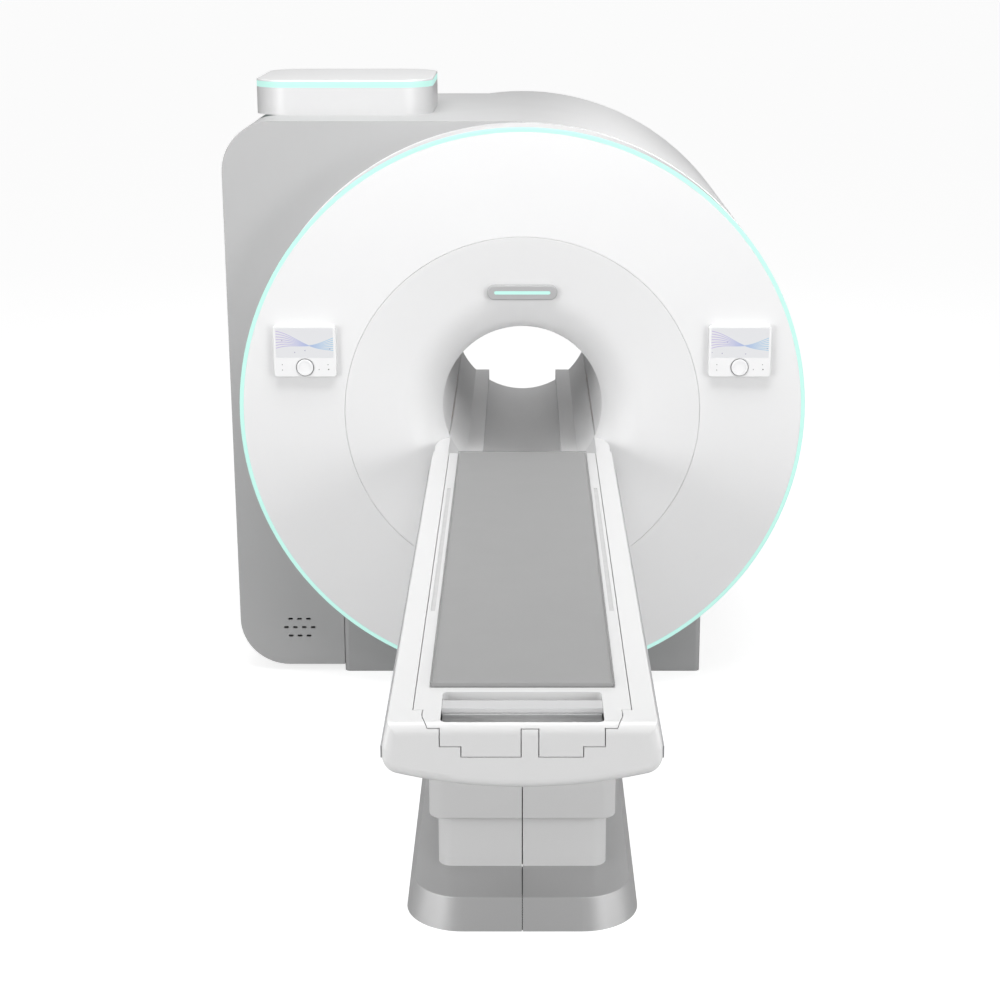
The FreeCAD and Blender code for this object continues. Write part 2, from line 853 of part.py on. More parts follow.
def gradient_coil():
    """The gradient coil, a thick potted tube, with the pads that wedge it in the vessel's bore."""
    body = new_body("gradient_coil")
    middle = "vessel_front + vessel_length / 2"
    ends = (f"{middle} - gradient_length / 2", f"{middle} + gradient_length / 2")
    revolve(body, [rectangle(ends[0], "gradient_inner", ends[1], "gradient_outer")])
    half = "pad_size / 2"
    pads = [
        rectangle(f"-{half}", f"{end} - {half}", half, f"{end} + {half}")
        for end in (f"{ends[0]} + pad_size * 1.5", f"{ends[1]} - pad_size * 1.5")
    ]
    top = f"sqrt(vessel_bore ^ 2 - ({half}) ^ 2) - fit_gap"
    blocks = upward(body, "Pad", pads, "gradient_outer - skin", top)
    repeat_round_y(body, blocks, 8)


def rf_birdcage():
    """The body coil: two end rings joined by rungs, just outside the bore liner."""
    body = new_body("rf_birdcage")
    inner = "bore_radius + liner_wall + fit_gap"
    middle = "gantry_length / 2"
    rings = [
        rectangle(f"{middle} {sign} rf_length / 2 - rf_ring / 2", inner,
                  f"{middle} {sign} rf_length / 2 + rf_ring / 2", f"{inner} + rf_wall")
        for sign in ("-", "+")
    ]
    revolve(body, rings)
    rung = [rectangle("-rf_rung / 2", f"{middle} - rf_length / 2", "rf_rung / 2", f"{middle} + rf_length / 2")]
    rungs = upward(body, "Pad", rung, f"{inner} + 2", f"{inner} + rf_wall - 2")
    repeat_round_y(body, rungs, 16)


def magnet_feet():
    """Two steel feet that carry the vessel, on the plinth's floor plate."""
    blank = helper_body("feet_blank")
    low, outer = "-axis_height + plinth_floor", "plinth_half_width - shell_wall - fit_gap"
    front = "vessel_front + former_margin"
    rear = "vessel_front + vessel_length - former_margin"
    loops = [
        rectangle("foot_inner", low, outer, "-vessel_radius / 2"),
        rectangle(f"-({outer})", low, "-foot_inner", "-vessel_radius / 2"),
    ]
    along_y(blank, "Pad", loops, front, rear)
    drum = helper_body("feet_drum")
    revolve(drum, [rectangle("0", "0", "gantry_length", "vessel_radius + fit_gap")])
    cut("magnet_feet", blank, drum)


def bore_liner():
    """The patient bore's lining, in an upper shell and a lower trough."""
    outer = "bore_radius + liner_wall"
    for label, sign in (("bore_liner_upper", 1), ("bore_liner_lower", -1)):
        body = new_body(label)
        up = f"-liner_seam_drop + {sign} * liner_seam / 2"
        corners = [
            (f"sqrt(({outer}) ^ 2 - ({up}) ^ 2)", up),
            ("0", f"{sign} * ({outer})", f"{sign} * ({outer})"),
            (f"-sqrt(({outer}) ^ 2 - ({up}) ^ 2)", up, f"{sign} * ({outer})"),
            (f"-sqrt(bore_radius ^ 2 - ({up}) ^ 2)", up),
            ("0", f"{sign} * bore_radius", f"-{sign} * bore_radius"),
            (f"sqrt(bore_radius ^ 2 - ({up}) ^ 2)", up, f"-{sign} * bore_radius"),
        ]
        along_y(body, "Pad", [corners], "throat_depth", "gantry_length")


def bridge_rails():
    """The two rails in the trough that carry the cradle through the bore."""
    body = new_body("bridge_rails")
    wall = "bore_radius - fit_gap / 2"
    rails = []
    for sign in (1, -1):
        rails.append([
            (f"{sign} * rail_inner", "-rail_drop"),
            (f"{sign} * rail_inner", f"-sqrt(({wall}) ^ 2 - rail_inner ^ 2)"),
            (f"{sign} * sqrt(({wall}) ^ 2 - rail_drop ^ 2)", "-rail_drop", f"{sign} * ({wall})"),
        ])
    along_y(body, "Pad", rails, "-bridge_reach", "gantry_length")


def docking_bridge():
    """The trough between the couch and the throat, with a lip that widens to the couch's edges."""
    blank = helper_body("bridge_blank")
    outer = "bore_radius + shell_wall"
    up = "-liner_seam_drop - liner_seam / 2"
    low = f"{up} - bridge_lip"
    trough = [
        (f"sqrt(({outer}) ^ 2 - ({low}) ^ 2)", low),
        ("0", f"-({outer})", f"-({outer})"),
        (f"-sqrt(({outer}) ^ 2 - ({low}) ^ 2)", low, f"-({outer})"),
        (f"-sqrt(bore_radius ^ 2 - ({low}) ^ 2)", low),
        ("0", "-bore_radius", "bore_radius"),
        (f"sqrt(bore_radius ^ 2 - ({low}) ^ 2)", low, "bore_radius"),
    ]
    along_y(blank, "Pad", [trough], "-bridge_reach", "throat_depth")
    wide = "bridge_half_width"
    slim = f"sqrt(({outer}) ^ 2 - ({up}) ^ 2)"
    plan = [
        (wide, "-bridge_reach"),
        (wide, "-bridge_reach + bridge_straight"),
        (slim, "throat_depth", "bridge_curve"),
        (f"-({slim})", "throat_depth"),
        (f"-({wide})", "-bridge_reach + bridge_straight", "bridge_curve"),
        (f"-({wide})", "-bridge_reach"),
    ]
    upward(blank, "Pad", [plan], low, up)
    along_y(blank, "Pocket", [("0", "0", "bore_radius")], "-bridge_reach - 1", "throat_depth + 1")
    cut("docking_bridge", blank, doc.getObject("flare_space"))


def lamp():
    """The lamp over the bore: its housing on the flare, and its light strip."""
    blank = helper_body("lamp_blank")
    half_long, half_tall = "lamp_length / 2", "lamp_height / 2"
    pill = rounded(f"-{half_long}", f"lamp_rise - {half_tall}", half_long, f"lamp_rise + {half_tall}",
                   "lamp_height / 2 - end_flat")
    along_y(blank, "Pad", [pill], "lamp_front", "throat_depth - lamp_front")
    round_edges(blank, "edge_round * 3", lambda at, way: near(at.y, "lamp_front", 0.01))
    slot = rounded("-lamp_strip_length / 2", "lamp_rise - lamp_strip_height / 2", "lamp_strip_length / 2",
                   "lamp_rise + lamp_strip_height / 2", "lamp_strip_height / 2 - end_flat")
    along_y(blank, "Pocket", [slot], "lamp_front - 1", "lamp_front + lamp_strip_depth")
    cut("lamp_housing", blank, doc.getObject("flare_space"))
    strip = new_body("lamp_light")
    gap = "fit_gap"
    inner = rounded(f"-lamp_strip_length / 2 + {gap}", f"lamp_rise - lamp_strip_height / 2 + {gap}",
                    f"lamp_strip_length / 2 - {gap}", f"lamp_rise + lamp_strip_height / 2 - {gap}",
                    f"lamp_strip_height / 2 - end_flat - {gap}")
    along_y(strip, "Pad", [inner], "lamp_front + glass_sink", "lamp_front + lamp_strip_depth")


# ---- control panels ----


def control_panel(side, sign):
    """One control panel on the fascia: its body, its screen and its dial."""
    middle = f"{sign} * panel_offset"
    half_wide, half_tall = "panel_width / 2", "panel_height / 2"
    body = new_body("panel_body_" + side)
    outline = rounded(f"{middle} - {half_wide}", f"panel_rise - {half_tall}",
                      f"{middle} + {half_wide}", f"panel_rise + {half_tall}", "panel_round")
    along_y(body, "Pad", [outline], "-panel_depth", "0")
    round_edges(body, "edge_round * 2", lambda at, way: near(at.y, "-panel_depth", 0.01))
    low = "panel_rise + screen_rise - screen_height / 2"
    window = rounded(f"{middle} - screen_width / 2", low, f"{middle} + screen_width / 2",
                     f"{low} + screen_height", "edge_round")
    along_y(body, "Pocket", [window], "-panel_depth - 1", "-panel_depth + screen_sink")
    dial_up = "panel_rise - knob_drop"
    along_y(body, "Pocket", [(middle, dial_up, "knob_radius + knob_gap")],
            "-panel_depth - 1", "-panel_depth + knob_sink")
    along_y(body, "Pocket", [(middle, dial_up, "knob_shaft + running_gap")],
            "-panel_depth - 1", "-panel_depth + knob_sink + knob_shaft_length + 2")
    screen = new_body("panel_screen_" + side)
    gap = "fit_gap"
    glass = rounded(f"{middle} - screen_width / 2 + {gap}", f"{low} + {gap}",
                    f"{middle} + screen_width / 2 - {gap}", f"{low} + screen_height - {gap}", "edge_round")
    along_y(screen, "Pad", [glass], "-panel_depth + glass_sink", "-panel_depth + screen_sink")
    knob = new_body("panel_dial_" + side)
    along_y(knob, "Pad", [(middle, dial_up, "knob_radius")],
            "-panel_depth - knob_proud", "-panel_depth + knob_sink - fit_gap")
    round_edges(knob, "edge_round", lambda at, way: near(at.y, "-panel_depth - knob_proud", 0.01))
    along_y(knob, "Pocket", [(middle, dial_up, "knob_dish_radius")],
            "-panel_depth - knob_proud - 1", "-panel_depth - knob_proud + knob_dish")
    along_y(knob, "Pad", [(middle, dial_up, "knob_shaft")],
            "-panel_depth", "-panel_depth + knob_sink + knob_shaft_length")


# ---- couch ----

COUCH_REAR = "-couch_rear_gap"
COUCH_FRONT = "-(couch_rear_gap + couch_length)"
TOP = "-table_top_drop"
GUIDE_TOP = f"{TOP} - wing_thickness - channel_gap - guide_step"


def bow(half_width, radius):
    """How far a bowed underside rises from its middle to a half width."""
    return f"{radius} - sqrt(({radius}) ^ 2 - ({half_width}) ^ 2)"


def couch_section():
    """The couch's outline across the table: its bulging sides and bowed underside."""
    half, curve = "couch_bottom_half", "couch_bottom_curve"
    return mirrored([
        (half, f"-couch_bottom_drop + {bow(half, curve)}", curve),
        ("couch_bulge", "-couch_bulge_drop - couch_corner_drop", "couch_corner"),
        ("couch_bulge", "-couch_bulge_drop"),
        ("couch_half_width", TOP, "couch_side_curve"),
    ])


def couch_blank(label):
    """The couch's outer form as one solid, rounded at the foot end."""
    body = helper_body(label)
    along_y(body, "Pad", [couch_section()], COUCH_FRONT, COUCH_REAR)
    round_edges(body, "couch_front_round", lambda at, way: near(at.y, COUCH_FRONT, 0.01))
    return body


def couch_shell():
    """The moulded couch cover: a hollow shell with the cradle's stepped seat let into its top."""
    body = couch_blank("couch_shell")
    PARTS.append(body)
    gap = "channel_gap"
    floor = f"{TOP} - wing_thickness - {gap}"
    inner_front = f"{COUCH_FRONT} + couch_front_wall"
    notch = f"{COUCH_FRONT} + wing_notch_length - {gap}"
    # the hollow below the seat, open at the rear
    seat = "(couch_wall + wing_thickness + channel_gap)"
    side = "couch_bulge - couch_wall * 1.5"
    half, curve = "couch_bottom_half - couch_wall", "couch_bottom_curve - couch_wall"
    cavity = mirrored([
        (half, f"-couch_bottom_drop + couch_wall + {bow(half, curve)}", curve),
        (side, "-couch_bulge_drop - couch_corner_drop"),
        (side, "-couch_bulge_drop"),
        ("couch_half_width - couch_wall", f"{TOP} - couch_wall * 1.5"),
        (f"wing_half_width + {gap} + couch_wall", f"{TOP} - couch_wall * 1.5"),
        (f"wing_half_width + {gap} + couch_wall", f"{TOP} - {seat}"),
    ])
    along_y(body, "Pocket", [cavity], inner_front, f"{COUCH_REAR} + 1")
    # the seat for the cradle's wings, narrower at the foot end
    wide = f"wing_half_width + {gap}"
    seat_plan = [
        (wide, f"{COUCH_REAR} + 1"),
        (f"-({wide})", f"{COUCH_REAR} + 1"),
        (f"-({wide})", notch),
        (f"-(wing_notch_half_width + {gap})", notch),
        (f"-(wing_front_half_width + {gap})", f"{COUCH_FRONT} - 1", "wing_curve"),
        (f"wing_front_half_width + {gap}", f"{COUCH_FRONT} - 1"),
        (f"wing_notch_half_width + {gap}", notch, "wing_curve"),
        (wide, notch),
    ]
    upward(body, "Pocket", [seat_plan], floor, f"{TOP} + 1")
    slot = rectangle("-slot_half_width", f"{inner_front} - 1", "slot_half_width", f"{COUCH_REAR} + 1")
    upward(body, "Pocket", [slot], f"{TOP} - {seat} - 1", f"{TOP} + 1")
    # the stepped opening in the front wall, left and right of the centre guide
    for inner, sign in ((f"guide_right - {gap}", 1), (f"guide_left + {gap}", -1)):
        block = f"{sign} * (block_half_width + {gap})"
        tongue = f"{sign} * (tongue_half_width + {gap})"
        opening = [
            (inner, f"{TOP} + 1"),
            (inner, f"-tongue_drop - {gap}"),
            (tongue, f"-tongue_drop - {gap}"),
            (tongue, f"-block_drop - {gap}"),
            (block, f"-block_drop - {gap}"),
            (block, f"{TOP} + 1"),
        ]
        along_y(body, "Pocket", [opening], f"{COUCH_FRONT} - 1", inner_front)
    lowered = [rectangle("guide_left - 1", GUIDE_TOP, "guide_right + 1", f"{TOP} + 1")]
    along_y(body, "Pocket", lowered, f"{COUCH_FRONT} - 1", inner_front)
    # the opening over the lift column
    inset = "sleeve_wall + well_margin"
    well = rectangle(f"-upper_half_width + {inset}", f"-column_front + {inset}",
                     f"upper_half_width - ({inset})", f"-column_front + column_length - ({inset})")
    upward(body, "Pocket", [well], "-couch_bottom_drop - 1", "-couch_bottom_drop + well_height")


def side_trims():
    """The two slim metal strips along the couch's sides."""
    body = new_body("side_trims")
    low = "-couch_bulge_drop - couch_corner_drop"
    strips = [
        rectangle(f"{sign} * (couch_bulge + fit_gap)", low,
                  f"{sign} * (couch_bulge + trim_thickness)", f"{low} + trim_height")
        for sign in (1, -1)
    ]
    along_y(body, "Pad", strips, f"{COUCH_FRONT} + couch_front_round", f"{COUCH_REAR} - trim_rear_gap")


def couch_frame():
    """The folded metal channel under the cradle, with the shelves that its runners slide on."""
    body = new_body("couch_frame")
    metal = "sheet_metal"
    top = f"{TOP} - wing_thickness - channel_gap - couch_wall - fit_gap"
    outer = "channel_inner + shelf_reach"
    shelf = "-rail_drop"
    corners = mirrored([
        (f"channel_inner + {metal}", f"-frame_floor_drop - {metal}"),
        (f"channel_inner + {metal}", f"{shelf} - {metal}"),
        (outer, f"{shelf} - {metal}"),
        (outer, top),
        (f"{outer} - {metal}", top),
        (f"{outer} - {metal}", shelf),
        ("channel_inner", shelf),
        ("channel_inner", "-frame_floor_drop"),
    ])
    front = f"{COUCH_FRONT} + couch_front_wall + fit_gap"
    along_y(body, "Pad", [corners], front, f"{COUCH_REAR} - frame_rear_gap")
    for end in PULLEY_ENDS:
        hole = (end, PULLEY_Z, "pulley_shaft + running_gap")
        sideways(body, "Pocket", [hole], "-channel_inner - sheet_metal - 1", "channel_inner + sheet_metal + 1")


PULLEY_ENDS = (
    f"{COUCH_FRONT} + pulley_inset",
    f"{COUCH_REAR} - pulley_inset",
)
BELT_TOP = "-tongue_drop - belt_drop"
PULLEY_Z = f"{BELT_TOP} - belt_thickness - pulley_radius"


def cradle_drive():
    """The belt under the cradle, its two pulleys and the motor that drives the rear one."""
    belt = new_body("drive_belt")
    front, rear = PULLEY_ENDS
    loops = []
    for radius in ("pulley_radius + belt_thickness", "pulley_radius + fit_gap"):
        loops.append([
            (rear, f"{PULLEY_Z} - ({radius})"),
            (f"{rear} + ({radius})", PULLEY_Z, radius),
            (rear, f"{PULLEY_Z} + ({radius})", radius),
            (front, f"{PULLEY_Z} + ({radius})"),
            (f"{front} - ({radius})", PULLEY_Z, radius),
            (front, f"{PULLEY_Z} - ({radius})", radius),
        ])
    sideways(belt, "Pad", loops, "-belt_width / 2", "belt_width / 2")
    for label, end in (("idler_pulley", front), ("drive_pulley", rear)):
        pulley = new_body(label)
        sideways(pulley, "Pad", [(end, PULLEY_Z, "pulley_radius")], "-pulley_width / 2", "pulley_width / 2")
        reach = "channel_inner + sheet_metal"
        sideways(pulley, "Pad", [(end, PULLEY_Z, "pulley_shaft")], f"-({reach})", reach)
    motor = new_body("drive_motor")
    case = rectangle(f"{rear} - motor_case / 2", f"{PULLEY_Z} - motor_drop",
                     f"{rear} + motor_case / 2", f"{PULLEY_Z} + motor_rise")
    sideways(motor, "Pad", [case], "channel_inner + sheet_metal + fit_gap",
             "channel_inner + sheet_metal + motor_case")


# ---- cradle ----


def cradle():
    """The moving table top: thin wings, a deep middle, the handle's recess and the mattress's seat."""
    body = new_body("cradle")
    rear = "-cradle_rear_gap"
    section = mirrored([
        ("tongue_half_width", "-tongue_drop"),
        ("tongue_half_width", "-block_drop"),
        ("block_half_width", "-block_drop"),
        ("block_half_width", f"{TOP} - wing_thickness"),
        ("wing_half_width - wing_edge", f"{TOP} - wing_thickness"),
        ("wing_half_width", f"{TOP} - wing_edge"),
        ("wing_half_width", TOP),
    ])
    along_y(body, "Pad", [section], COUCH_FRONT, rear)
    # the lug that grips the drive belt
    start = f"{COUCH_FRONT} + lug_start"
    lug = rectangle("-belt_width / 2 - skin", start, "belt_width / 2 + skin", f"{start} + lug_length")
    upward(body, "Pad", [lug], f"{BELT_TOP} + fit_gap", "-tongue_drop + 1")
    notch = f"{COUCH_FRONT} + wing_notch_length"
    for sign in (1, -1):
        corner = [
            (f"{sign} * wing_notch_half_width", notch),
            (f"{sign} * wing_front_half_width", COUCH_FRONT, f"{-sign} * wing_curve"),
            (f"{sign} * wing_front_half_width", f"{COUCH_FRONT} - 1"),
            (f"{sign} * (wing_half_width + 1)", f"{COUCH_FRONT} - 1"),
            (f"{sign} * (wing_half_width + 1)", notch),
        ]
        upward(body, "Pocket", [corner], f"{TOP} - wing_thickness - 1", f"{TOP} + 1")
    # the front is rounded like the couch's, and slotted for the centre guide
    round_edges(body, "couch_front_round", lambda at, way: near(at.y, COUCH_FRONT, 0.01)
                and near(at.z, TOP, 0.01))
    guide = rectangle("guide_left", "-tongue_drop - 1", "guide_right", f"{GUIDE_TOP} + channel_gap")
    along_y(body, "Pocket", [guide], f"{COUCH_FRONT} - 1", f"{COUCH_FRONT} + couch_front_wall + channel_gap")
    recess = rounded("-handle_half_width", f"{COUCH_FRONT} + handle_start", "handle_half_width",
                     f"{COUCH_FRONT} + handle_start + handle_length", "handle_round")
    upward(body, "Pocket", [recess], f"{TOP} - handle_recess", f"{TOP} + 1")
    seat = rectangle("-mattress_half_width - fit_gap", f"{COUCH_FRONT} + mattress_front - fit_gap",
                     "mattress_half_width + fit_gap", "-mattress_rear_gap + fit_gap")
    upward(body, "Pocket", [seat], f"{TOP} - mattress_recess", f"{TOP} + 1")
    grooves = [
        rectangle(left, f"{COUCH_FRONT} + groove_front", f"{left} + groove_width",
                  f"{COUCH_FRONT} + groove_front + groove_length")
        for left in ("groove_left", "-groove_left - groove_width")
    ]
    upward(body, "Pocket", grooves, f"{TOP} - groove_depth", f"{TOP} + 1")


def foot_handle():
    """The grab bar across the recess at the foot of the cradle."""
    body = new_body("foot_handle")
    top = f"{TOP} - bar_sink"
    start = f"{COUCH_FRONT} + bar_start"
    end = "handle_half_width - fit_gap"
    section = [
        (start, f"{top} - bar_height * 0.6"),
        (f"{start} + bar_nose", f"{top} - bar_height"),
        (f"{start} + bar_width", f"{top} - bar_height"),
        (f"{start} + bar_width", top),
        (f"{start} + bar_nose", top),
    ]
    sideways(body, "Pad", [section], f"-({end})", end)
    round_edges(body, "edge_round", lambda at, way: runs_along(way, 0))


def mattress():
    """The patient mattress, a plain slab in its shallow seat."""
    body = new_body("mattress")
    outline = rounded("-mattress_half_width", f"{COUCH_FRONT} + mattress_front", "mattress_half_width",
                      "-mattress_rear_gap", "edge_round * 3")
    low = f"{TOP} - mattress_recess"
    upward(body, "Pad", [outline], low, f"{low} + mattress_thickness")


def cradle_runners():
    """The two slippery runners under the cradle."""
    body = new_body("cradle_runners")
    front = f"{COUCH_FRONT} + couch_front_wall + runner_inset"
    loops = [
        rectangle("runner_inner", "-rail_drop + fit_gap", "runner_outer", "-block_drop"),
        rectangle("-runner_outer", "-rail_drop + fit_gap", "-runner_inner", "-block_drop"),
    ]
    along_y(body, "Pad", loops, front, "-cradle_rear_gap - runner_inset")


# ---- column and base ----

FLOOR = "-axis_height"
DECK = "-axis_height + base_height"
COLUMN_MIDDLE = "-column_front + column_length / 2"


def sleeve_half(label, half_width, front, rear, low, high, sign):
    """Half of a rectangular sleeve, split along the middle of the table."""
    body = helper_body(label)
    outer = rounded(f"-{half_width}", front, half_width, rear, "column_round")
    inner = rounded(f"-{half_width} + sleeve_wall", f"{front} + sleeve_wall",
                    f"{half_width} - sleeve_wall", f"{rear} - sleeve_wall", "column_round - sleeve_wall")
    upward(body, "Pad", [outer, inner], low, high)
    away = f"{-sign} * ({half_width} + 1)"
    seam = f"{sign} * centre_seam / 2"
    left, right = (seam, away) if sign < 0 else (away, seam)
    upward(body, "Pocket", [rectangle(left, f"{front} - 1", right, f"{rear} + 1")], f"{low} - 1", f"{high} + 1")
    return body


def sleeves():
    """The lower sleeve on the base and the upper sleeve under the couch, each in two halves."""
    envelope = couch_blank("couch_envelope")
    for side, sign in (("right", 1), ("left", -1)):
        setback = "-column_front + lower_setback"
        lower = sleeve_half("lower_sleeve_" + side, "lower_half_width", setback,
                            f"{setback} + column_length - 2 * lower_setback", DECK,
                            f"{DECK} + lower_height", sign)
        PARTS.append(lower)
        upper = sleeve_half("upper_blank_" + side, "upper_half_width", "-column_front",
                            "-column_front + column_length", f"{FLOOR} + upper_bottom",
                            f"{TOP} - wing_thickness - couch_corner", sign)
        round_edges(upper, "sleeve_wall * 0.8", lambda at, way: near(at.z, f"{FLOOR} + upper_bottom", 0.01)
                    and outside_sleeve(at))
        cut("upper_sleeve_" + side, upper, envelope)


def outside_sleeve(at):
    """Whether a point lies on the upper sleeve's outer outline."""
    half, wall = size("upper_half_width"), size("sleeve_wall") * 0.5
    front, rear = size("-column_front"), size("-column_front + column_length")
    bend = size("column_round")
    dx = max(abs(at.x) - (half - bend), 0)
    dy = max(front + bend - at.y, at.y - (rear - bend), 0)
    if dx and dy:
        return math.hypot(dx, dy) > bend - wall
    return abs(at.x) > half - wall or at.y < front + wall or at.y > rear - wall


def outside_well(at):
    """Whether a point on the base's deck lies outside the lift column."""
    return (abs(at.x) > size("lower_half_width") or at.y < -size("column_front")
            or at.y > -size("column_front") + size("column_length"))


def base_half(side, sign):
    """Half of the table's base cover: tapered sides, wide rounded front corners, and a flat deck."""
    body = new_body("base_cover_" + side)

    def outline(inset, rear_inset="0"):
        half, front, rear = f"base_half_width - {inset}", f"-base_front + {inset}", f"-base_rear - {rear_inset}"
        bend, tail = f"base_round - {inset}", "base_rear_round"
        return [
            (f"{half} - ({bend})", front),
            (half, f"{front} + {bend}", bend),
            (half, f"{rear} - {tail}"),
            (f"{half} - {tail}", rear, tail),
            (f"-({half}) + {tail}", rear),
            (f"-({half})", f"{rear} - {tail}", tail),
            (f"-({half})", f"{front} + {bend}"),
            (f"-({half}) + {bend}", front, bend),
        ]

    low = sketch_on(body, "XY_Plane", [outline("0")], FLOOR)
    high = sketch_on(body, "XY_Plane", [outline("base_draft")], DECK)
    loft = body.newObject("PartDesign::AdditiveLoft", body.Label + "_loft")
    loft.Profile = low
    loft.Sections = [high]
    loft.Ruled = True
    doc.recompute()
    hollow = outline("(base_draft + base_wall)", "base_wall")
    upward(body, "Pocket", [hollow], FLOOR, f"{DECK} - base_wall")
    inset = "lower_setback + base_well_inset"
    well = rectangle("-lower_half_width + base_well_inset", f"-column_front + {inset}",
                     "lower_half_width - base_well_inset", f"-column_front + column_length - ({inset})")
    upward(body, "Pocket", [well], f"{DECK} - base_wall - 1", f"{DECK} + 1")
    round_edges(body, "deck_round", lambda at, way: near(at.z, DECK, 0.01) and outside_well(at))
    away = f"{-sign} * (base_half_width + 1)"
    seam = f"{sign} * centre_seam / 2"
    left, right = (seam, away) if sign < 0 else (away, seam)
    upward(body, "Pocket", [rectangle(left, "-base_front - 1", right, "-base_rear + 1")],
           f"{FLOOR} - 1", f"{DECK} + 1")


FRAME_TOP = "-axis_height + base_height - base_wall - fit_gap"


def base_frame():
    """The welded frame in the base and its four levelling feet."""
    body = new_body("base_frame")
    front, rear = "-base_front + base_round", "-base_rear - frame_rear_inset"
    outline = rectangle("-frame_half_width", front, "frame_half_width", rear)
    upward(body, "Pad", [outline], f"{FLOOR} + frame_lift", FRAME_TOP)
    side = "frame_half_width - frame_rail"
    windows = [
        rectangle(f"-({side})", f"{front} + frame_rail", side, "-column_front + frame_saddle"),
        rectangle(f"-({side})", "-column_front + column_length - frame_saddle", side, f"{rear} - frame_rail"),
    ]
    upward(body, "Pocket", windows, f"{FLOOR} + frame_lift - 1", f"{FRAME_TOP} + 1")
    feet = new_body("levelling_feet")
    pads = [
        (across, along, "foot_radius")
        for across in ("frame_half_width - foot_inset", "-frame_half_width + foot_inset")
        for along in (f"{front} + foot_inset", f"{rear} - foot_inset")
    ]
    upward(feet, "Pad", pads, FLOOR, f"{FLOOR} + foot_height")
    stems = [(across, along, "foot_radius / 3") for across, along, _ in pads]
    upward(feet, "Pad", stems, f"{FLOOR} + foot_height", f"{FLOOR} + frame_lift")


def floor_duct():
    """The low duct that carries the table's cables along the floor to the magnet."""
    body = new_body("floor_duct")
    low, high = FLOOR, f"{FLOOR} + duct_height"
    front, rear = "-base_rear + fit_gap", "cover_setback - plinth_proud - fit_gap"
    half = "duct_half_width"
    outline = mirrored([
        (f"{half} - duct_foot", low),
        (half, low),
        (f"{half} - duct_slope", high),
    ])
    along_y(body, "Pad", [outline], front, rear)
    hollow = mirrored([
        (f"{half} - duct_foot", low),
        (f"{half} - duct_slope - skin", f"{high} - skin"),
    ])
    along_y(body, "Pocket", [hollow], f"{front} - 1", f"{rear} + 1")


def lift():
    """The lift: fixed guide tubes, the rods that slide in them, the screw, its nut and its gear motor."""
    tubes = new_body("guide_tubes")
    spots = [("0", f"{COLUMN_MIDDLE} {sign} guide_spread") for sign in ("-", "+")]
    loops = []
    for spot in spots:
        loops += [spot + ("guide_radius",), spot + ("guide_radius - guide_wall",)]
    upward(tubes, "Pad", loops, FRAME_TOP, f"{FRAME_TOP} + guide_height")
    plate_low = "-frame_floor_drop - sheet_metal - lift_plate"
    rods = new_body("lift_carriage")
    plate = rectangle("-lift_plate_half_width", "-column_front + plate_inset", "lift_plate_half_width",
                      "-column_front + column_length - plate_inset")
    upward(rods, "Pad", [plate], plate_low, f"{plate_low} + lift_plate")
    shafts = [spot + ("guide_radius - guide_wall - running_gap",) for spot in spots]
    upward(rods, "Pad", shafts, f"{plate_low} - piston_length", plate_low)
    tube_inner = "screw_radius + screw_clear"
    nut_low = f"{plate_low} - nut_drop"
    nut = new_body("lift_nut")
    upward(nut, "Pad", [("0", COLUMN_MIDDLE, "nut_radius"), ("0", COLUMN_MIDDLE, "screw_radius + running_gap")],
           nut_low, f"{nut_low} + nut_length")
    upward(nut, "Pad", [("0", COLUMN_MIDDLE, f"{tube_inner} + nut_tube_wall"), ("0", COLUMN_MIDDLE, tube_inner)],
           f"{nut_low} + nut_length", plate_low)
    gearbox_top = f"{FRAME_TOP} + gearbox_height"
    screw = new_body("lift_screw")
    upward(screw, "Pad", [("0", COLUMN_MIDDLE, "screw_radius")], f"{FRAME_TOP} + screw_start",
           f"{FRAME_TOP} + screw_start + screw_length")
    motor = new_body("lift_motor")
    box = rectangle("-gearbox_half_width", f"{COLUMN_MIDDLE} - gearbox_half_width", "gearbox_half_width",
                    f"{COLUMN_MIDDLE} + gearbox_half_width")
    upward(motor, "Pad", [box], FRAME_TOP, gearbox_top)
    upward(motor, "Pocket", [("0", COLUMN_MIDDLE, "screw_radius + running_gap")], f"{FRAME_TOP} + screw_start - 1",
           f"{gearbox_top} + 1")
    sideways(motor, "Pad", [(COLUMN_MIDDLE, f"{FRAME_TOP} + motor_radius", "motor_radius")],
             "gearbox_half_width - motor_sink", "gearbox_half_width - motor_sink + motor_length")


# ---- build, check and write ----


def build():
    """Makes every sub-part."""
    front_fascia()
    front_flare()
    flare_space()
    ring_light()
    rim_band()
    barrel_cover()
    rear_cover()
    plinth()
    cabinet_shell()
    cabinet_front_panel()
    fan_housing()
    fan_rotor()
    turret()
    cold_head()
    cryostat()
    coil_former()
    main_coils()
    gradient_coil()
    rf_birdcage()
    magnet_feet()
    bore_liner()
    bridge_rails()
    docking_bridge()
    lamp()
    control_panel("left", -1)
    control_panel("right", 1)
    couch_shell()
    side_trims()
    couch_frame()
    cradle_drive()
    cradle()
    foot_handle()
    mattress()
    cradle_runners()
    sleeves()
    base_half("left", -1)
    base_half("right", 1)
    base_frame()
    floor_duct()
    lift()


def check_and_write():
    """Stops on any failed object, then writes one file for each sub-part."""
    doc.recompute()
    for item in doc.Objects:
        if "Invalid" in item.State or "Error" in item.State:
            raise ValueError(f"{item.Label} failed: {item.State}")
    for part in PARTS:
        shape = part.Shape
        if shape.isNull() or not shape.isValid() or not shape.Solids:
            raise ValueError(f"{part.Label} has no valid solid")
        shape.exportStep(f"parts/{part.Label}.step")
    print(len(PARTS), "sub-parts written")


build()
check_and_write()
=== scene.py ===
import math

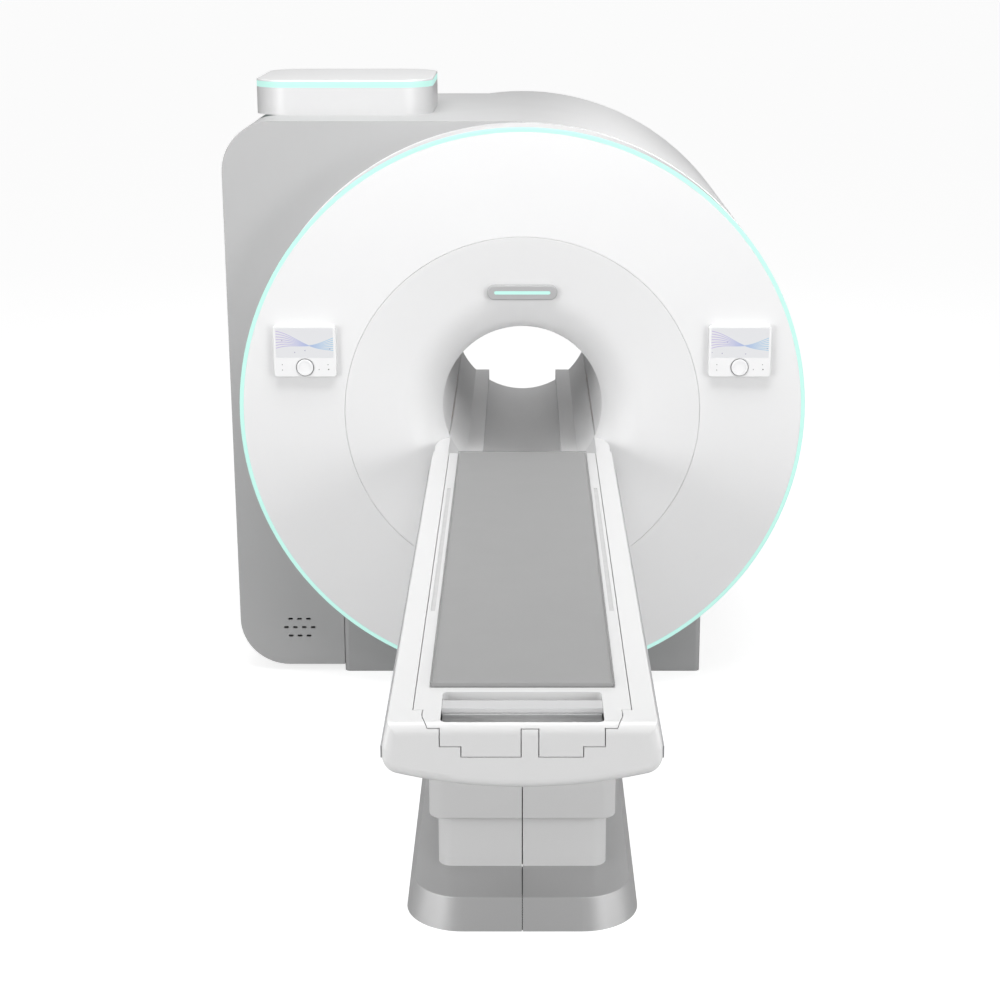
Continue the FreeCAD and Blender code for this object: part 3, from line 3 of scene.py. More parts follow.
import bmesh
import bpy
import numpy as np
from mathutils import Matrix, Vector


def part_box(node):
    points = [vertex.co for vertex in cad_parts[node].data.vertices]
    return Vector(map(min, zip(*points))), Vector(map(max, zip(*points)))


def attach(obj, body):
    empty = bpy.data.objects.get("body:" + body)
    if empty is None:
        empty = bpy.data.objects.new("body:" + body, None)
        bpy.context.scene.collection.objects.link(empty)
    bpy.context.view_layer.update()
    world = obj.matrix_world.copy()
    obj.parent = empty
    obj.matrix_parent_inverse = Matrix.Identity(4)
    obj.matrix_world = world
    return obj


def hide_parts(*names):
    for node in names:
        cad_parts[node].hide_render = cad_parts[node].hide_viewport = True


bl_info = {
    "name": "MRI Scanner Looks",
    "version": (1, 0, 0),
    "blender": (4, 5, 0),
    "location": "View3D > Sidebar > Scanner",
    "description": "Dresses the frame of an MRI scanner: covers, lights, panels, table and mattress",
    "category": "Add Mesh",
}

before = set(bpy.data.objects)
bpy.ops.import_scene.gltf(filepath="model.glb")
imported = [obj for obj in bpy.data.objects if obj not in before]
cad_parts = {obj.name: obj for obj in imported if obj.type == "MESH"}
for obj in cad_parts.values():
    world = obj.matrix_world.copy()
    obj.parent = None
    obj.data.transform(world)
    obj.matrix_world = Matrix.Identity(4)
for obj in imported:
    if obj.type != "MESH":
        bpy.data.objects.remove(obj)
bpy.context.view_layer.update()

# ---- places taken from the frame ----

FASCIA_LOW, FASCIA_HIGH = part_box("ring_light")
RIM_PLANE = FASCIA_LOW.y
AXIS_HEIGHT = (FASCIA_LOW.z + FASCIA_HIGH.z) / 2


# ---- settings that a user would change ----


def colour(name, description, default):
    """A colour setting, in linear light."""
    return bpy.props.FloatVectorProperty(
        name=name, description=description, subtype="COLOR", size=3, min=0.0, max=1.0, default=default)


def length(name, description, default):
    """A length setting, in metres."""
    return bpy.props.FloatProperty(
        name=name, description=description, unit="LENGTH", min=0.0, default=default)


def amount(name, description, default, high=10.0):
    """A plain number setting."""
    return bpy.props.FloatProperty(name=name, description=description, min=0.0, max=high, default=default)


class ScannerColours(bpy.types.PropertyGroup):
    """The colours of the scanner's finishes."""

    cover: colour("Cover", "White moulded covers", (0.765, 0.765, 0.768))
    # Turret is the white cover made darker, as painted shade on the turret's housing
    turret: colour("Turret", "Paint of the turret over the cold head", (0.64, 0.64, 0.643))
    # Cabinet, Barrel and Middle are one paint in lit and shaded tones: the lighter barrel and the darker
    # middle where they meet are painted light and shade
    cabinet: colour("Cabinet", "Light grey paint of the cabinet", (0.60, 0.60, 0.602))
    cabinet_front: colour("Cabinet front", "Paint of the cabinet's front panel", (0.44, 0.44, 0.442))
    barrel: colour("Barrel", "Light grey paint of the barrel", (0.88, 0.88, 0.882))
    middle: colour("Middle", "Paint where the cabinet and the barrel meet", (0.56, 0.56, 0.562))
    plinth: colour("Plinth", "Grey paint of the plinth", (0.40, 0.40, 0.403))
    liner: colour("Liner", "Satin lining of the patient bore", (0.88, 0.88, 0.882))
    glow: colour("Glow", "Light of the ring, the turret and the lamp", (0.578, 0.956, 0.871))
    vinyl: colour("Mattress", "Coated cloth of the mattress", (0.30, 0.30, 0.30))
    couch: colour("Couch", "White covers of the table", (0.76, 0.76, 0.76))
    sleeve: colour("Sleeves", "Covers of the lift column", (0.64, 0.64, 0.64))
    base: colour("Base", "Metallic paint of the table's base", (0.50, 0.50, 0.502))


class ScannerSizes(bpy.types.PropertyGroup):
    """The sizes of what is added to the frame."""

    pad_crown: length("Mattress crown", "How far the mattress may swell", 0.0025)
    pad_cell: length("Mattress cell", "Cell of the mattress's mesh before it is smoothed", 0.012)
    piping: length("Piping", "Radius of the piping round the mattress", 0.0009)
    groove_depth: length("Groove depth", "Depth of the accessory grooves in the cradle's deck", 0.003)
    seam_depth: length("Seam depth", "How far the base's seam strip lies under its covers", 0.003)
    print_height: length("Print", "Height of printed marks over their surface", 0.00015)


class ScannerStage(bpy.types.PropertyGroup):
    """The camera and the light."""

    camera_back: length("Camera distance", "From the rim's plane, along the bore", 6.962)
    camera_rise: length("Camera height", "Over the axis of the bore", 1.697)
    camera_tilt: bpy.props.FloatProperty(
        name="Camera tilt", description="Downward tilt of the view", subtype="ANGLE",
        default=math.radians(16.24))
    lens: amount("Lens", "Focal length in millimetres on a 36 mm sensor", 69.7, 300.0)
    shift: bpy.props.FloatProperty(name="Shift", description="Sideways shift of the view", default=-0.0223)
    key: amount("Key light", "Power of the softbox over the table, in watts", 135.0, 5000.0)
    fill: amount("Fill lights", "Power of each softbox in front, at the sides, in watts", 205.0, 5000.0)
    back: amount("Back light", "Power of the softbox behind the bore, in watts", 0.3, 5000.0)
    rear: amount("Rear light", "Power of the large softbox high behind the magnet, in watts", 32.0, 5000.0)
    side: amount("Side lights", "Power of each softbox beside the table, in watts", 22.0, 5000.0)
    sky: amount("Sky light", "Strength of the light from all round", 0.42)
    floor: colour("Floor", "Colour of the floor", (0.45, 0.45, 0.45))
    floor_lift: amount("Floor lift", "Light that the floor shows but does not throw", 0.76)


# ---- shader helpers ----


def shader(name):
    """A new material, its node tree and its surface shader."""
    made = bpy.data.materials.new(name)
    made.use_nodes = True
    return made, made.node_tree, made.node_tree.nodes["Principled BSDF"]


def add(tree, kind, inputs=None, **settings):
    """Adds a node. An input that is a socket is linked, and any other is set."""
    node = tree.nodes.new(kind)
    for name, value in settings.items():
        setattr(node, name, value)
    for name, value in (inputs or {}).items():
        if isinstance(value, bpy.types.NodeSocket):
            tree.links.new(value, node.inputs[name])
        else:
            node.inputs[name].default_value = value
    return node


def maths(tree, operation, *values):
    """The result of a Math node on numbers or sockets."""
    node = add(tree, "ShaderNodeMath", operation=operation)
    for socket, value in zip(node.inputs, values):
        if isinstance(value, bpy.types.NodeSocket):
            tree.links.new(value, socket)
        else:
            socket.default_value = value
    return node.outputs[0]


def place(tree, stretch=(1.0, 1.0, 1.0)):
    """The place on the surface in metres, stretched along the row's axes."""
    spot = add(tree, "ShaderNodeTexCoord").outputs["Object"]
    if stretch == (1.0, 1.0, 1.0):
        return spot
    return add(tree, "ShaderNodeMapping", {"Vector": spot, "Scale": stretch}).outputs[0]


def noise(tree, scale, detail=2.0, stretch=(1.0, 1.0, 1.0)):
    """Noise from 0 to 1, with scale spots to the metre."""
    return add(tree, "ShaderNodeTexNoise",
               {"Vector": place(tree, stretch), "Scale": scale, "Detail": detail}).outputs["Fac"]


def between(tree, value, low, high):
    """A value from 0 to 1 spread from low to high."""
    return add(tree, "ShaderNodeMapRange", {"Value": value, "To Min": low, "To Max": high}).outputs[0]


def tint(tree, value, colour_low, colour_high):
    """A colour between two, mixed by a value from 0 to 1."""
    mix = add(tree, "ShaderNodeMix", {"Factor": value}, data_type="RGBA")
    mix.inputs["A"].default_value = (*colour_low, 1.0)
    mix.inputs["B"].default_value = (*colour_high, 1.0)
    return mix.outputs["Result"]


def shade(base, share):
    """A colour made lighter or darker."""
    return tuple(min(1.0, c * share) for c in base)


def mottle(tree, surface, base, spread=0.02, scale=2.5):
    """Gives the surface its colour, with a faint slow change over it."""
    patches = noise(tree, scale, 3.0)
    tree.links.new(tint(tree, patches, shade(base, 1 - spread), shade(base, 1 + spread)),
                   surface.inputs["Base Color"])


def roughen(tree, surface, low, high, scale):
    """Gives the surface a roughness that changes slowly."""
    tree.links.new(between(tree, noise(tree, scale, 3.0), low, high), surface.inputs["Roughness"])


def emboss(tree, surface, height, depth, strength=1.0):
    """Bumps the surface by a height from 0 to 1 times the depth in metres."""
    bump = add(tree, "ShaderNodeBump", {"Height": height, "Distance": depth, "Strength": strength})
    tree.links.new(bump.outputs[0], surface.inputs["Normal"])


# ---- finishes ----


def moulded(name, base, low=0.30, high=0.40, coat=0.15):
    """Moulded plastic with a satin sheen and a fine texture from its mould."""
    made, tree, surface = shader(name)
    mottle(tree, surface, base, 0.012)
    roughen(tree, surface, low, high, 6.0)
    emboss(tree, surface, noise(tree, 900.0, 2.0), 0.00004)
    surface.inputs["Coat Weight"].default_value = coat
    surface.inputs["Coat Roughness"].default_value = 0.25
    return made


def painted(name, base, low=0.38, high=0.5, depth=0.00006):
    """Sprayed satin paint, with the slight ripple of orange peel."""
    made, tree, surface = shader(name)
    mottle(tree, surface, base, 0.02, 1.6)
    roughen(tree, surface, low, high, 4.0)
    emboss(tree, surface, noise(tree, 420.0, 2.0), depth)
    return made


def painted_light_gradient(name, inner, outer, reach):
    """Satin paint with painted light and shade: one tone at the middle plane, going to another further out.
    """
    made, tree, surface = shader(name)
    # painted light and shade: the tone changes with the distance from the middle plane, not with the paint
    spot = add(tree, "ShaderNodeSeparateXYZ", {"Vector": place(tree)})
    away = maths(tree, "ABSOLUTE", spot.outputs["X"])
    share = add(tree, "ShaderNodeMapRange", {"Value": away, "From Max": reach},
                interpolation_type="SMOOTHSTEP").outputs[0]
    tree.links.new(tint(tree, share, inner, outer), surface.inputs["Base Color"])
    roughen(tree, surface, 0.38, 0.5, 4.0)
    emboss(tree, surface, noise(tree, 420.0, 2.0), 0.00006)
    return made


def metal(name, base, roughness=0.35, grain=(1.0, 1.0, 1.0), scale=600.0):
    """Bare metal whose grain runs along the axis that is stretched least."""
    made, tree, surface = shader(name)
    lines = noise(tree, scale, 3.0, grain)
    tree.links.new(tint(tree, lines, shade(base, 0.95), shade(base, 1.05)), surface.inputs["Base Color"])
    tree.links.new(between(tree, lines, roughness - 0.05, roughness + 0.07), surface.inputs["Roughness"])
    emboss(tree, surface, lines, 0.00002)
    surface.inputs["Metallic"].default_value = 1.0
    return made


def metallic_paint(name, base):
    """Silver paint: fine flakes under a clear satin coat."""
    made, tree, surface = shader(name)
    flakes = noise(tree, 1800.0, 1.0)
    tree.links.new(tint(tree, flakes, shade(base, 0.96), shade(base, 1.04)), surface.inputs["Base Color"])
    roughen(tree, surface, 0.42, 0.48, 5.0)
    emboss(tree, surface, flakes, 0.00002)
    surface.inputs["Metallic"].default_value = 0.55
    surface.inputs["Coat Weight"].default_value = 0.1
    surface.inputs["Coat Roughness"].default_value = 0.3
    return made


def glowing(name, base, strength):
    """A lit diffuser: a milky strip with its light a little uneven along it."""
    made, tree, surface = shader(name)
    mottle(tree, surface, shade(base, 0.25), 0.03)
    uneven = noise(tree, 7.0, 2.0)
    tree.links.new(tint(tree, uneven, shade(base, 0.96), base), surface.inputs["Emission Color"])
    surface.inputs["Emission Strength"].default_value = strength
    surface.inputs["Roughness"].default_value = 0.5
    return made


def rubber(name, base):
    """Dull black rubber or moulded nylon with a fine matt skin."""
    made, tree, surface = shader(name)
    mottle(tree, surface, base, 0.08, 30.0)
    roughen(tree, surface, 0.6, 0.75, 60.0)
    emboss(tree, surface, noise(tree, 1500.0, 2.0), 0.00005)
    return made


def wound_copper(name, base):
    """Turns of enamelled wire that run round the bore."""
    made, tree, surface = shader(name)
    turns = add(tree, "ShaderNodeTexWave", {"Vector": place(tree), "Scale": 40.0, "Distortion": 0.3,
                                            "Detail": 1.0}, bands_direction="Y").outputs["Fac"]
    tree.links.new(tint(tree, turns, shade(base, 0.6), base), surface.inputs["Base Color"])
    roughen(tree, surface, 0.3, 0.42, 80.0)
    emboss(tree, surface, turns, 0.0008)
    surface.inputs["Metallic"].default_value = 1.0
    return made


def resin(name, base, spread=0.12):
    """Cast resin or glass fibre with a cloudy, slightly uneven skin."""
    made, tree, surface = shader(name)
    mottle(tree, surface, base, spread, 14.0)
    roughen(tree, surface, 0.35, 0.6, 20.0)
    emboss(tree, surface, noise(tree, 55.0, 4.0), 0.0004)
    return made


def coated_cloth(name, base):
    """Coated cloth with a small pebbled grain."""
    made, tree, surface = shader(name)
    mottle(tree, surface, base, 0.02, 3.0)
    cells = add(tree, "ShaderNodeTexVoronoi", {"Vector": place(tree), "Scale": 620.0},
                feature="SMOOTH_F1").outputs["Distance"]
    roughen(tree, surface, 0.52, 0.62, 9.0)
    emboss(tree, surface, cells, 0.00025, 0.6)
    surface.inputs["Sheen Weight"].default_value = 0.12
    surface.inputs["Sheen Roughness"].default_value = 0.5
    return made


# the display's waves: how many lines, where they cross, and each line's half width, in shares of the screen
WAVE_LINES = 7
WAVE_CROSSING = 0.58
LINE_CORE = 0.002
LINE_EDGE = 0.02


def lit_display(name, node):
    """A lit display behind glass: pale grey, with a fall of thin violet waves that fans out in blue."""
    made, tree, surface = shader(name)
    low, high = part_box(node)
    spot = add(tree, "ShaderNodeSeparateXYZ", {"Vector": place(tree)})
    across = maths(tree, "DIVIDE", maths(tree, "SUBTRACT", spot.outputs["X"], low.x), high.x - low.x)
    rise = maths(tree, "SUBTRACT", spot.outputs["Z"], (low.z + high.z) / 2)
    up = maths(tree, "DIVIDE", rise, high.z - low.z)
    swing = maths(tree, "SINE", maths(tree, "MULTIPLY_ADD", across, 6.0, 0.9))
    fall = maths(tree, "MULTIPLY_ADD", across, -0.14, 0.06)
    middle = maths(tree, "MULTIPLY_ADD", swing, 0.07, fall)
    # the lines start apart, cross past the middle and fan out again
    spread = maths(tree, "SUBTRACT", across, WAVE_CROSSING)
    lines = None
    for turn in range(WAVE_LINES):
        share = turn / (WAVE_LINES - 1) - 0.5
        away = maths(tree, "SUBTRACT", maths(tree, "MULTIPLY_ADD", spread, share, middle), up)
        line = add(tree, "ShaderNodeMapRange",
                   {"Value": maths(tree, "ABSOLUTE", away), "From Min": LINE_CORE, "From Max": LINE_EDGE,
                    "To Min": 1.0, "To Max": 0.0}).outputs[0]
        lines = line if lines is None else maths(tree, "MAXIMUM", lines, line)
    dots = add(tree, "ShaderNodeTexVoronoi", {"Vector": place(tree), "Scale": 48.0}).outputs["Distance"]
    band = maths(tree, "LESS_THAN", maths(tree, "ABSOLUTE", up), 0.38)
    dot = maths(tree, "MULTIPLY", maths(tree, "LESS_THAN", dots, 0.10), band)
    wave = tint(tree, across, (0.36, 0.16, 0.66), (0.02, 0.44, 0.74))
    picture = add(tree, "ShaderNodeMix", {"Factor": maths(tree, "MULTIPLY", lines, 0.62)}, data_type="RGBA")
    picture.inputs["A"].default_value = (0.76, 0.765, 0.775, 1.0)
    tree.links.new(wave, picture.inputs["B"])
    dotted = add(tree, "ShaderNodeMix", {"Factor": maths(tree, "MULTIPLY", dot, 0.8)}, data_type="RGBA")
    tree.links.new(picture.outputs["Result"], dotted.inputs["A"])
    dotted.inputs["B"].default_value = (0.16, 0.12, 0.34, 1.0)
    surface.inputs["Base Color"].default_value = (0.05, 0.05, 0.06, 1.0)
    tree.links.new(dotted.outputs["Result"], surface.inputs["Emission Color"])
    surface.inputs["Emission Strength"].default_value = 0.95
    surface.inputs["Roughness"].default_value = 0.08
    surface.inputs["Coat Weight"].default_value = 0.4
    return made


def paint(finish, *nodes):
    """Gives CAD nodes one finish."""
    for name in nodes:
        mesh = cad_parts[name].data
        mesh.materials.clear()
        mesh.materials.append(finish)


# ---- mesh helpers ----


def piece(name, build, finish, body):
    """Makes a mesh piece with a bmesh function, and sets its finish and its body."""
    mesh = bpy.data.meshes.new(name)
    form = bmesh.new()
    build(form)
    bmesh.ops.recalc_face_normals(form, faces=form.faces[:])
    form.to_mesh(mesh)
    form.free()
    mesh.materials.append(finish)
    made = bpy.data.objects.new(name, mesh)
    bpy.context.scene.collection.objects.link(made)
    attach(made, body)
    return made


def plate(name, outline, axis, low, high, finish, body):
    """A flat piece: an outline in the two other axes, as thick as from low to high along its own."""
    def build(form):
        verts = []
        for first, second in outline:
            spot = [first, second]
            spot.insert(axis, low)
            verts.append(form.verts.new(spot))
        form.faces.new(verts)
        back = bmesh.ops.extrude_face_region(form, geom=form.faces[:])
        for vert in back["geom"]:
            if isinstance(vert, bmesh.types.BMVert):
                vert.co[axis] = high

    return piece(name, build, finish, body)


def mesh_points(node):
    """The points of a CAD node's mesh, in metres."""
    return np.array([v.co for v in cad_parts[node].data.vertices])


def tube_along(name, points, radius, finish, body, closed=True):
    """A round tube along a line of points."""
    curve = bpy.data.curves.new(name, "CURVE")
    curve.dimensions = "3D"
    curve.bevel_depth = radius
    curve.bevel_resolution = 3
    line = curve.splines.new("POLY")
    line.points.add(len(points) - 1)
    for point, spot in zip(line.points, points):
        point.co = (*spot, 1.0)
    line.use_cyclic_u = closed
    curve.materials.append(finish)
    made = bpy.data.objects.new(name, curve)
    bpy.context.scene.collection.objects.link(made)
    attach(made, body)
    return made


def rounded_outline(low, high, radius, steps=6):
    """Points round a rectangle with rounded corners, anticlockwise from the lower right."""
    points = []
    for turn, (x, y) in enumerate(((high.x, low.y), (high.x, high.y), (low.x, high.y), (low.x, low.y))):
        across = math.copysign(radius, x - (low.x + high.x) / 2)
        along = math.copysign(radius, y - (low.y + high.y) / 2)
        for step in range(steps + 1):
            angle = math.radians(90 * (turn - 1 + step / steps))
            points.append((x - across + radius * math.cos(angle), y - along + radius * math.sin(angle)))
    return points


# ---- operators ----


class SCANNER_OT_covers(bpy.types.Operator):
    """Finish the white covers of the magnet"""

    bl_idname = "scanner.covers"
    bl_label = "White Covers"

    def execute(self, context):
        colours = context.scene.scanner_colours
        white = moulded("cover_white", colours.cover)
        paint(white, "front_fascia", "front_flare", "rim_band", "docking_bridge")
        # the turret's housing takes the darker Turret tone: painted shade on the white cover
        paint(moulded("turret_white_painted_shade", colours.turret), "turret_housing")
        paint(moulded("lid_white", colours.cover), "turret_lid")
        paint(moulded("lamp_grey", (0.40, 0.40, 0.405)), "lamp_housing")
        return {"FINISHED"}


class SCANNER_OT_cabinet(bpy.types.Operator):
    """Finish the painted cabinet, barrel, rear cover, plinth and duct"""

    bl_idname = "scanner.cabinet"
    bl_label = "Cabinet and Barrel"

    # how far from the middle plane the painted light and shade reach their full tone
    REACH = 0.5

    def execute(self, context):
        colours = context.scene.scanner_colours
        # painted shade and light: the cabinet and the barrel are one paint, darker where they meet at the
        # middle plane and lighter further out
        paint(painted_light_gradient("cabinet_grey_painted_light", colours.middle, colours.cabinet, self.REACH), "cabinet_shell")
        paint(painted("cabinet_front_grey", colours.cabinet_front), "cabinet_front_panel")
        paint(painted_light_gradient("barrel_grey_painted_light", colours.middle, colours.barrel, self.REACH), "barrel_cover")
        paint(painted("rear_grey", colours.middle), "rear_cover")
        paint(painted("plinth_grey", colours.plinth), "plinth", "floor_duct")
        paint(rubber("fan_black", (0.03, 0.03, 0.03)), "fan_rotor")
        paint(rubber("fan_frame", (0.06, 0.06, 0.06)), "fan_housing")
        return {"FINISHED"}


class SCANNER_OT_lights(bpy.types.Operator):
    """Light the ring, the turret's band and the lamp"""

    bl_idname = "scanner.lights"
    bl_label = "Lights"

    STRENGTH = 0.74

    def execute(self, context):
        glow = glowing("diffuser", context.scene.scanner_colours.glow, self.STRENGTH)
        paint(glow, "ring_light", "turret_light", "lamp_light")
        return {"FINISHED"}


class SCANNER_OT_bore(bpy.types.Operator):
    """Finish the lining of the patient bore and its rails"""

    bl_idname = "scanner.bore"
    bl_label = "Patient Bore"

    def execute(self, context):
        colours = context.scene.scanner_colours
        paint(moulded("bore_grey", colours.liner, 0.34, 0.44), "bore_liner_upper", "bore_liner_lower")
        paint(moulded("rail_white", shade(colours.liner, 0.98), 0.34, 0.44), "bridge_rails")
        return {"FINISHED"}


class SCANNER_OT_panels(bpy.types.Operator):
    """Finish both control panels: bodies, displays, dials and printed marks"""

    bl_idname = "scanner.panels"
    bl_label = "Control Panels"

    # printed marks, in millimetres right of and over the dial's middle, with their width and grey
    MARKS = ((-83, 10, 4, 0.30), (-83, -10, 4, 0.30), (84, 10, 4, 0.30), (51, -8, 4, 0.30), (86, -8, 5, 0.12))

    RING_GAP = 0.0013
    RING_THICKNESS = 0.0018

    def execute(self, context):
        sizes = context.scene.scanner_sizes
        for side in ("left", "right"):
            paint(moulded("panel_white_" + side, (0.80, 0.80, 0.805), 0.25, 0.32), "panel_body_" + side)
            paint(moulded("dial_white_" + side, (0.82, 0.82, 0.825), 0.2, 0.28), "panel_dial_" + side)
            paint(lit_display("display_" + side, "panel_screen_" + side), "panel_screen_" + side)
            self.ring(side)
            for number, mark in enumerate(self.MARKS):
                self.mark(f"panel_mark_{side}_{number}", side, mark, sizes.print_height)
        return {"FINISHED"}

    def face(self, side):
        """The dial's middle and the plane of the panel's face."""
        low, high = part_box("panel_dial_" + side)
        return Vector(((low.x + high.x) / 2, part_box("panel_body_" + side)[0].y, (low.z + high.z) / 2))

    def ring(self, side):
        """The thin grey ring round a dial."""
        middle = self.face(side)
        radius = (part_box("panel_dial_" + side)[1].x - middle.x) + self.RING_GAP
        points = [middle + Vector((radius * math.cos(a), 0.0, radius * math.sin(a)))
                  for a in np.linspace(0, 2 * math.pi, 72, endpoint=False)]
        finish = painted("dial_ring_" + side, (0.22, 0.22, 0.23))
        tube_along("dial_ring_" + side, points, self.RING_THICKNESS / 2, finish, "scanner")

    def mark(self, name, side, mark, height):
        """One printed mark on the panel's face."""
        right, over, width, grey = mark
        middle = self.face(side) + Vector((right, 0.0, over)) / 1000

        def build(form):
            disc = bmesh.ops.create_circle(form, cap_ends=True, segments=20, radius=width / 2000)
            turn = Vector((0, 0, 1)).rotation_difference(Vector((0, -1, 0))).to_matrix()
            bmesh.ops.rotate(form, verts=disc["verts"], matrix=turn)
            bmesh.ops.translate(form, verts=disc["verts"], vec=middle)
            top = bmesh.ops.extrude_face_region(form, geom=form.faces[:])
            verts = [v for v in top["geom"] if isinstance(v, bmesh.types.BMVert)]
            bmesh.ops.translate(form, verts=verts, vec=(0, -height, 0))

        piece(name, build, painted(name, (grey,) * 3), "scanner")


class SCANNER_OT_couch(bpy.types.Operator):
    """Finish the table top: couch, cradle, grab bar, side strips and runners"""

    bl_idname = "scanner.couch"
    bl_label = "Couch and Cradle"

    NEAR = 0.0002
    CLEAR = 0.0005

    def execute(self, context):
        colours = context.scene.scanner_colours
        paint(moulded("couch_white", colours.couch), "couch_shell")
        paint(moulded("cradle_white", shade(colours.couch, 0.98)), "cradle")
        paint(moulded("bar_grey", (0.58, 0.58, 0.585)), "foot_handle")
        paint(metal("strip_metal", (0.55, 0.55, 0.56), 0.3, (4.0, 0.05, 4.0)), "side_trims")
        paint(rubber("runner_nylon", (0.72, 0.72, 0.68)), "cradle_runners")
        self.groove_shade_strips()
        return {"FINISHED"}

    def groove_shade_strips(self):
        """A grey sheet laid in each accessory groove beside the mattress: painted shade that darkens the
        groove.
        """
        sizes = bpy.context.scene.scanner_sizes
        # the strip's grey, in a rubber finish, is painted shade in the groove
        strip = rubber("groove_painted_shade", (0.60, 0.60, 0.60))
        pad_low, pad_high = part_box("mattress")
        points = mesh_points("cradle")
        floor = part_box("cradle")[1].z - sizes.groove_depth
        for side, sign in (("left", -1), ("right", 1)):
            beside = points[:, 0] * sign > pad_high.x
            groove = points[beside & (np.abs(points[:, 2] - floor) < self.NEAR)]
            low, high = groove.min(axis=0) + self.CLEAR, groove.max(axis=0) - self.CLEAR
            outline = ((low[0], low[1]), (high[0], low[1]), (high[0], high[1]), (low[0], high[1]))
            plate("groove_shade_strip_" + side, outline, 2, floor, floor + sizes.groove_depth / 2, strip,
                  "cradle")


class SCANNER_OT_mattress(bpy.types.Operator):
    """Make the patient mattress: a thin padded slab in coated cloth, with piping round its top"""

    bl_idname = "scanner.mattress"
    bl_label = "Mattress"

    SIDE_GAP = 0.001
    SEAT_GAP = 0.0003
    CORNER = 0.006
    CROWN_EDGE = 0.03
    PRESSURE = 4.0
    STEPS = 20

    def execute(self, context):
        sizes = context.scene.scanner_sizes
        low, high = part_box("mattress")
        low += Vector((self.SIDE_GAP, self.SIDE_GAP, self.SEAT_GAP))
        high -= Vector((self.SIDE_GAP, self.SIDE_GAP, 0.0))
        cloth = coated_cloth("mattress_cloth", context.scene.scanner_colours.vinyl)

        def build(form):
            self.slab(form, low, high, sizes.pad_cell)

        pad = piece("mattress_pad", build, cloth, "cradle")
        self.swell(pad, low, high, sizes.pad_crown)
        pad.data.shade_smooth()
        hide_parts("mattress")
        edge = [(x, y, high.z - sizes.piping * 0.6) for x, y in rounded_outline(low, high, self.CORNER)]
        welt = tube_along("mattress_piping", edge, sizes.piping, cloth, "cradle")
        return {"FINISHED"}

    def slab(self, form, low, high, cell):
        """A closed slab of square cells."""
        across, along = (max(2, round((high[i] - low[i]) / cell)) for i in (0, 1))
        bmesh.ops.create_grid(form, x_segments=across, y_segments=along, size=0.5)
        for vert in form.verts:
            vert.co = Vector((low.x + (vert.co.x + 0.5) * (high.x - low.x),
                              low.y + (vert.co.y + 0.5) * (high.y - low.y), low.z))
        top = bmesh.ops.extrude_face_region(form, geom=form.faces[:])
        for vert in top["geom"]:
            if isinstance(vert, bmesh.types.BMVert):
                vert.co.z = high.z

    def swell(self, pad, low, high, crown):
        """Lets the cloth swell on its flat underside, no further than the crown, then smooths it."""
        mesh = pad.data
        rest = np.array([v.co for v in mesh.vertices])
        moved = self.inflate(pad, rest, low)
        step = moved - rest
        far = np.linalg.norm(step, axis=1)
        moved = rest + step * (np.minimum(far, crown) / np.maximum(far, 1e-9))[:, None]
        moved[:, 0] = np.clip(moved[:, 0], low.x, high.x)
        moved[:, 1] = np.clip(moved[:, 1], low.y, high.y)
        moved[:, 2] = np.maximum(moved[:, 2], low.z)
        mesh.vertices.foreach_set("co", moved.ravel())
        mesh.update()
        finer = pad.modifiers.new("finer", "SUBSURF")
        finer.levels = finer.render_levels = 1
        bpy.context.view_layer.objects.active = pad
        bpy.ops.object.modifier_apply(modifier=finer.name)

    def inflate(self, pad, rest, low):
        """Where the cloth's points go under a light pressure, with the underside held."""
        held = pad.vertex_groups.new(name="underside")
        held.add([i for i, co in enumerate(rest) if co[2] < low.z + 1e-5], 1.0, "ADD")
        cloth = pad.modifiers.new("cloth", "CLOTH")
        cloth.settings.use_pressure = True
        cloth.settings.uniform_pressure_force = self.PRESSURE
        cloth.settings.vertex_group_mass = held.name
        cloth.settings.effector_weights.gravity = 0.0
        scene = bpy.context.scene
        for step in range(1, self.STEPS + 1):
            scene.frame_set(step)
        shaped = pad.evaluated_get(bpy.context.evaluated_depsgraph_get())
        moved = np.array([v.co for v in shaped.data.vertices])
        pad.modifiers.remove(cloth)
        pad.vertex_groups.remove(held)
        scene.frame_set(1)
        return moved


class SCANNER_OT_column(bpy.types.Operator):
    """Finish the lift column's sleeves and the table's base"""

    bl_idname = "scanner.column"
    bl_label = "Column and Base"

    NEAR = 0.0002

    def execute(self, context):
        colours = context.scene.scanner_colours
        # painted shade: the upper sleeves get the sleeves' grey a tenth darker than the lower ones
        for level, share in (("upper", 0.9), ("lower", 1.0)):
            finish = moulded(level + "_sleeve_grey", shade(colours.sleeve, share))
            paint(finish, level + "_sleeve_left", level + "_sleeve_right")
        paint(metallic_paint("base_silver", colours.base), "base_cover_left", "base_cover_right")
        paint(painted("frame_steel", (0.30, 0.31, 0.33)), "base_frame", "levelling_feet")
        self.seam(context.scene.scanner_sizes.seam_depth)
        return {"FINISHED"}

    def seam(self, deep):
        """The dark rubber strip between the two halves of the base's cover."""
        points = mesh_points("base_cover_left")
        low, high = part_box("base_cover_left")
        edge = high.x - self.NEAR
        side = points[points[:, 0] > edge]
        top_front = side[side[:, 2] > high.z - self.NEAR][:, 1].min()
        sleeve_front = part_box("lower_sleeve_left")[0].y
        half = -high.x - self.NEAR
        outline = ((low.y + deep, low.z + deep), (top_front + deep, high.z - deep),
                   (sleeve_front, high.z - deep), (sleeve_front, high.z - 2 * deep),
                   (top_front + 2 * deep, high.z - 2 * deep), (low.y + 2 * deep, low.z + deep))
        plate("base_seam_strip", outline, 0, -half, half, rubber("seam_rubber", (0.05, 0.05, 0.05)),
              "scanner")


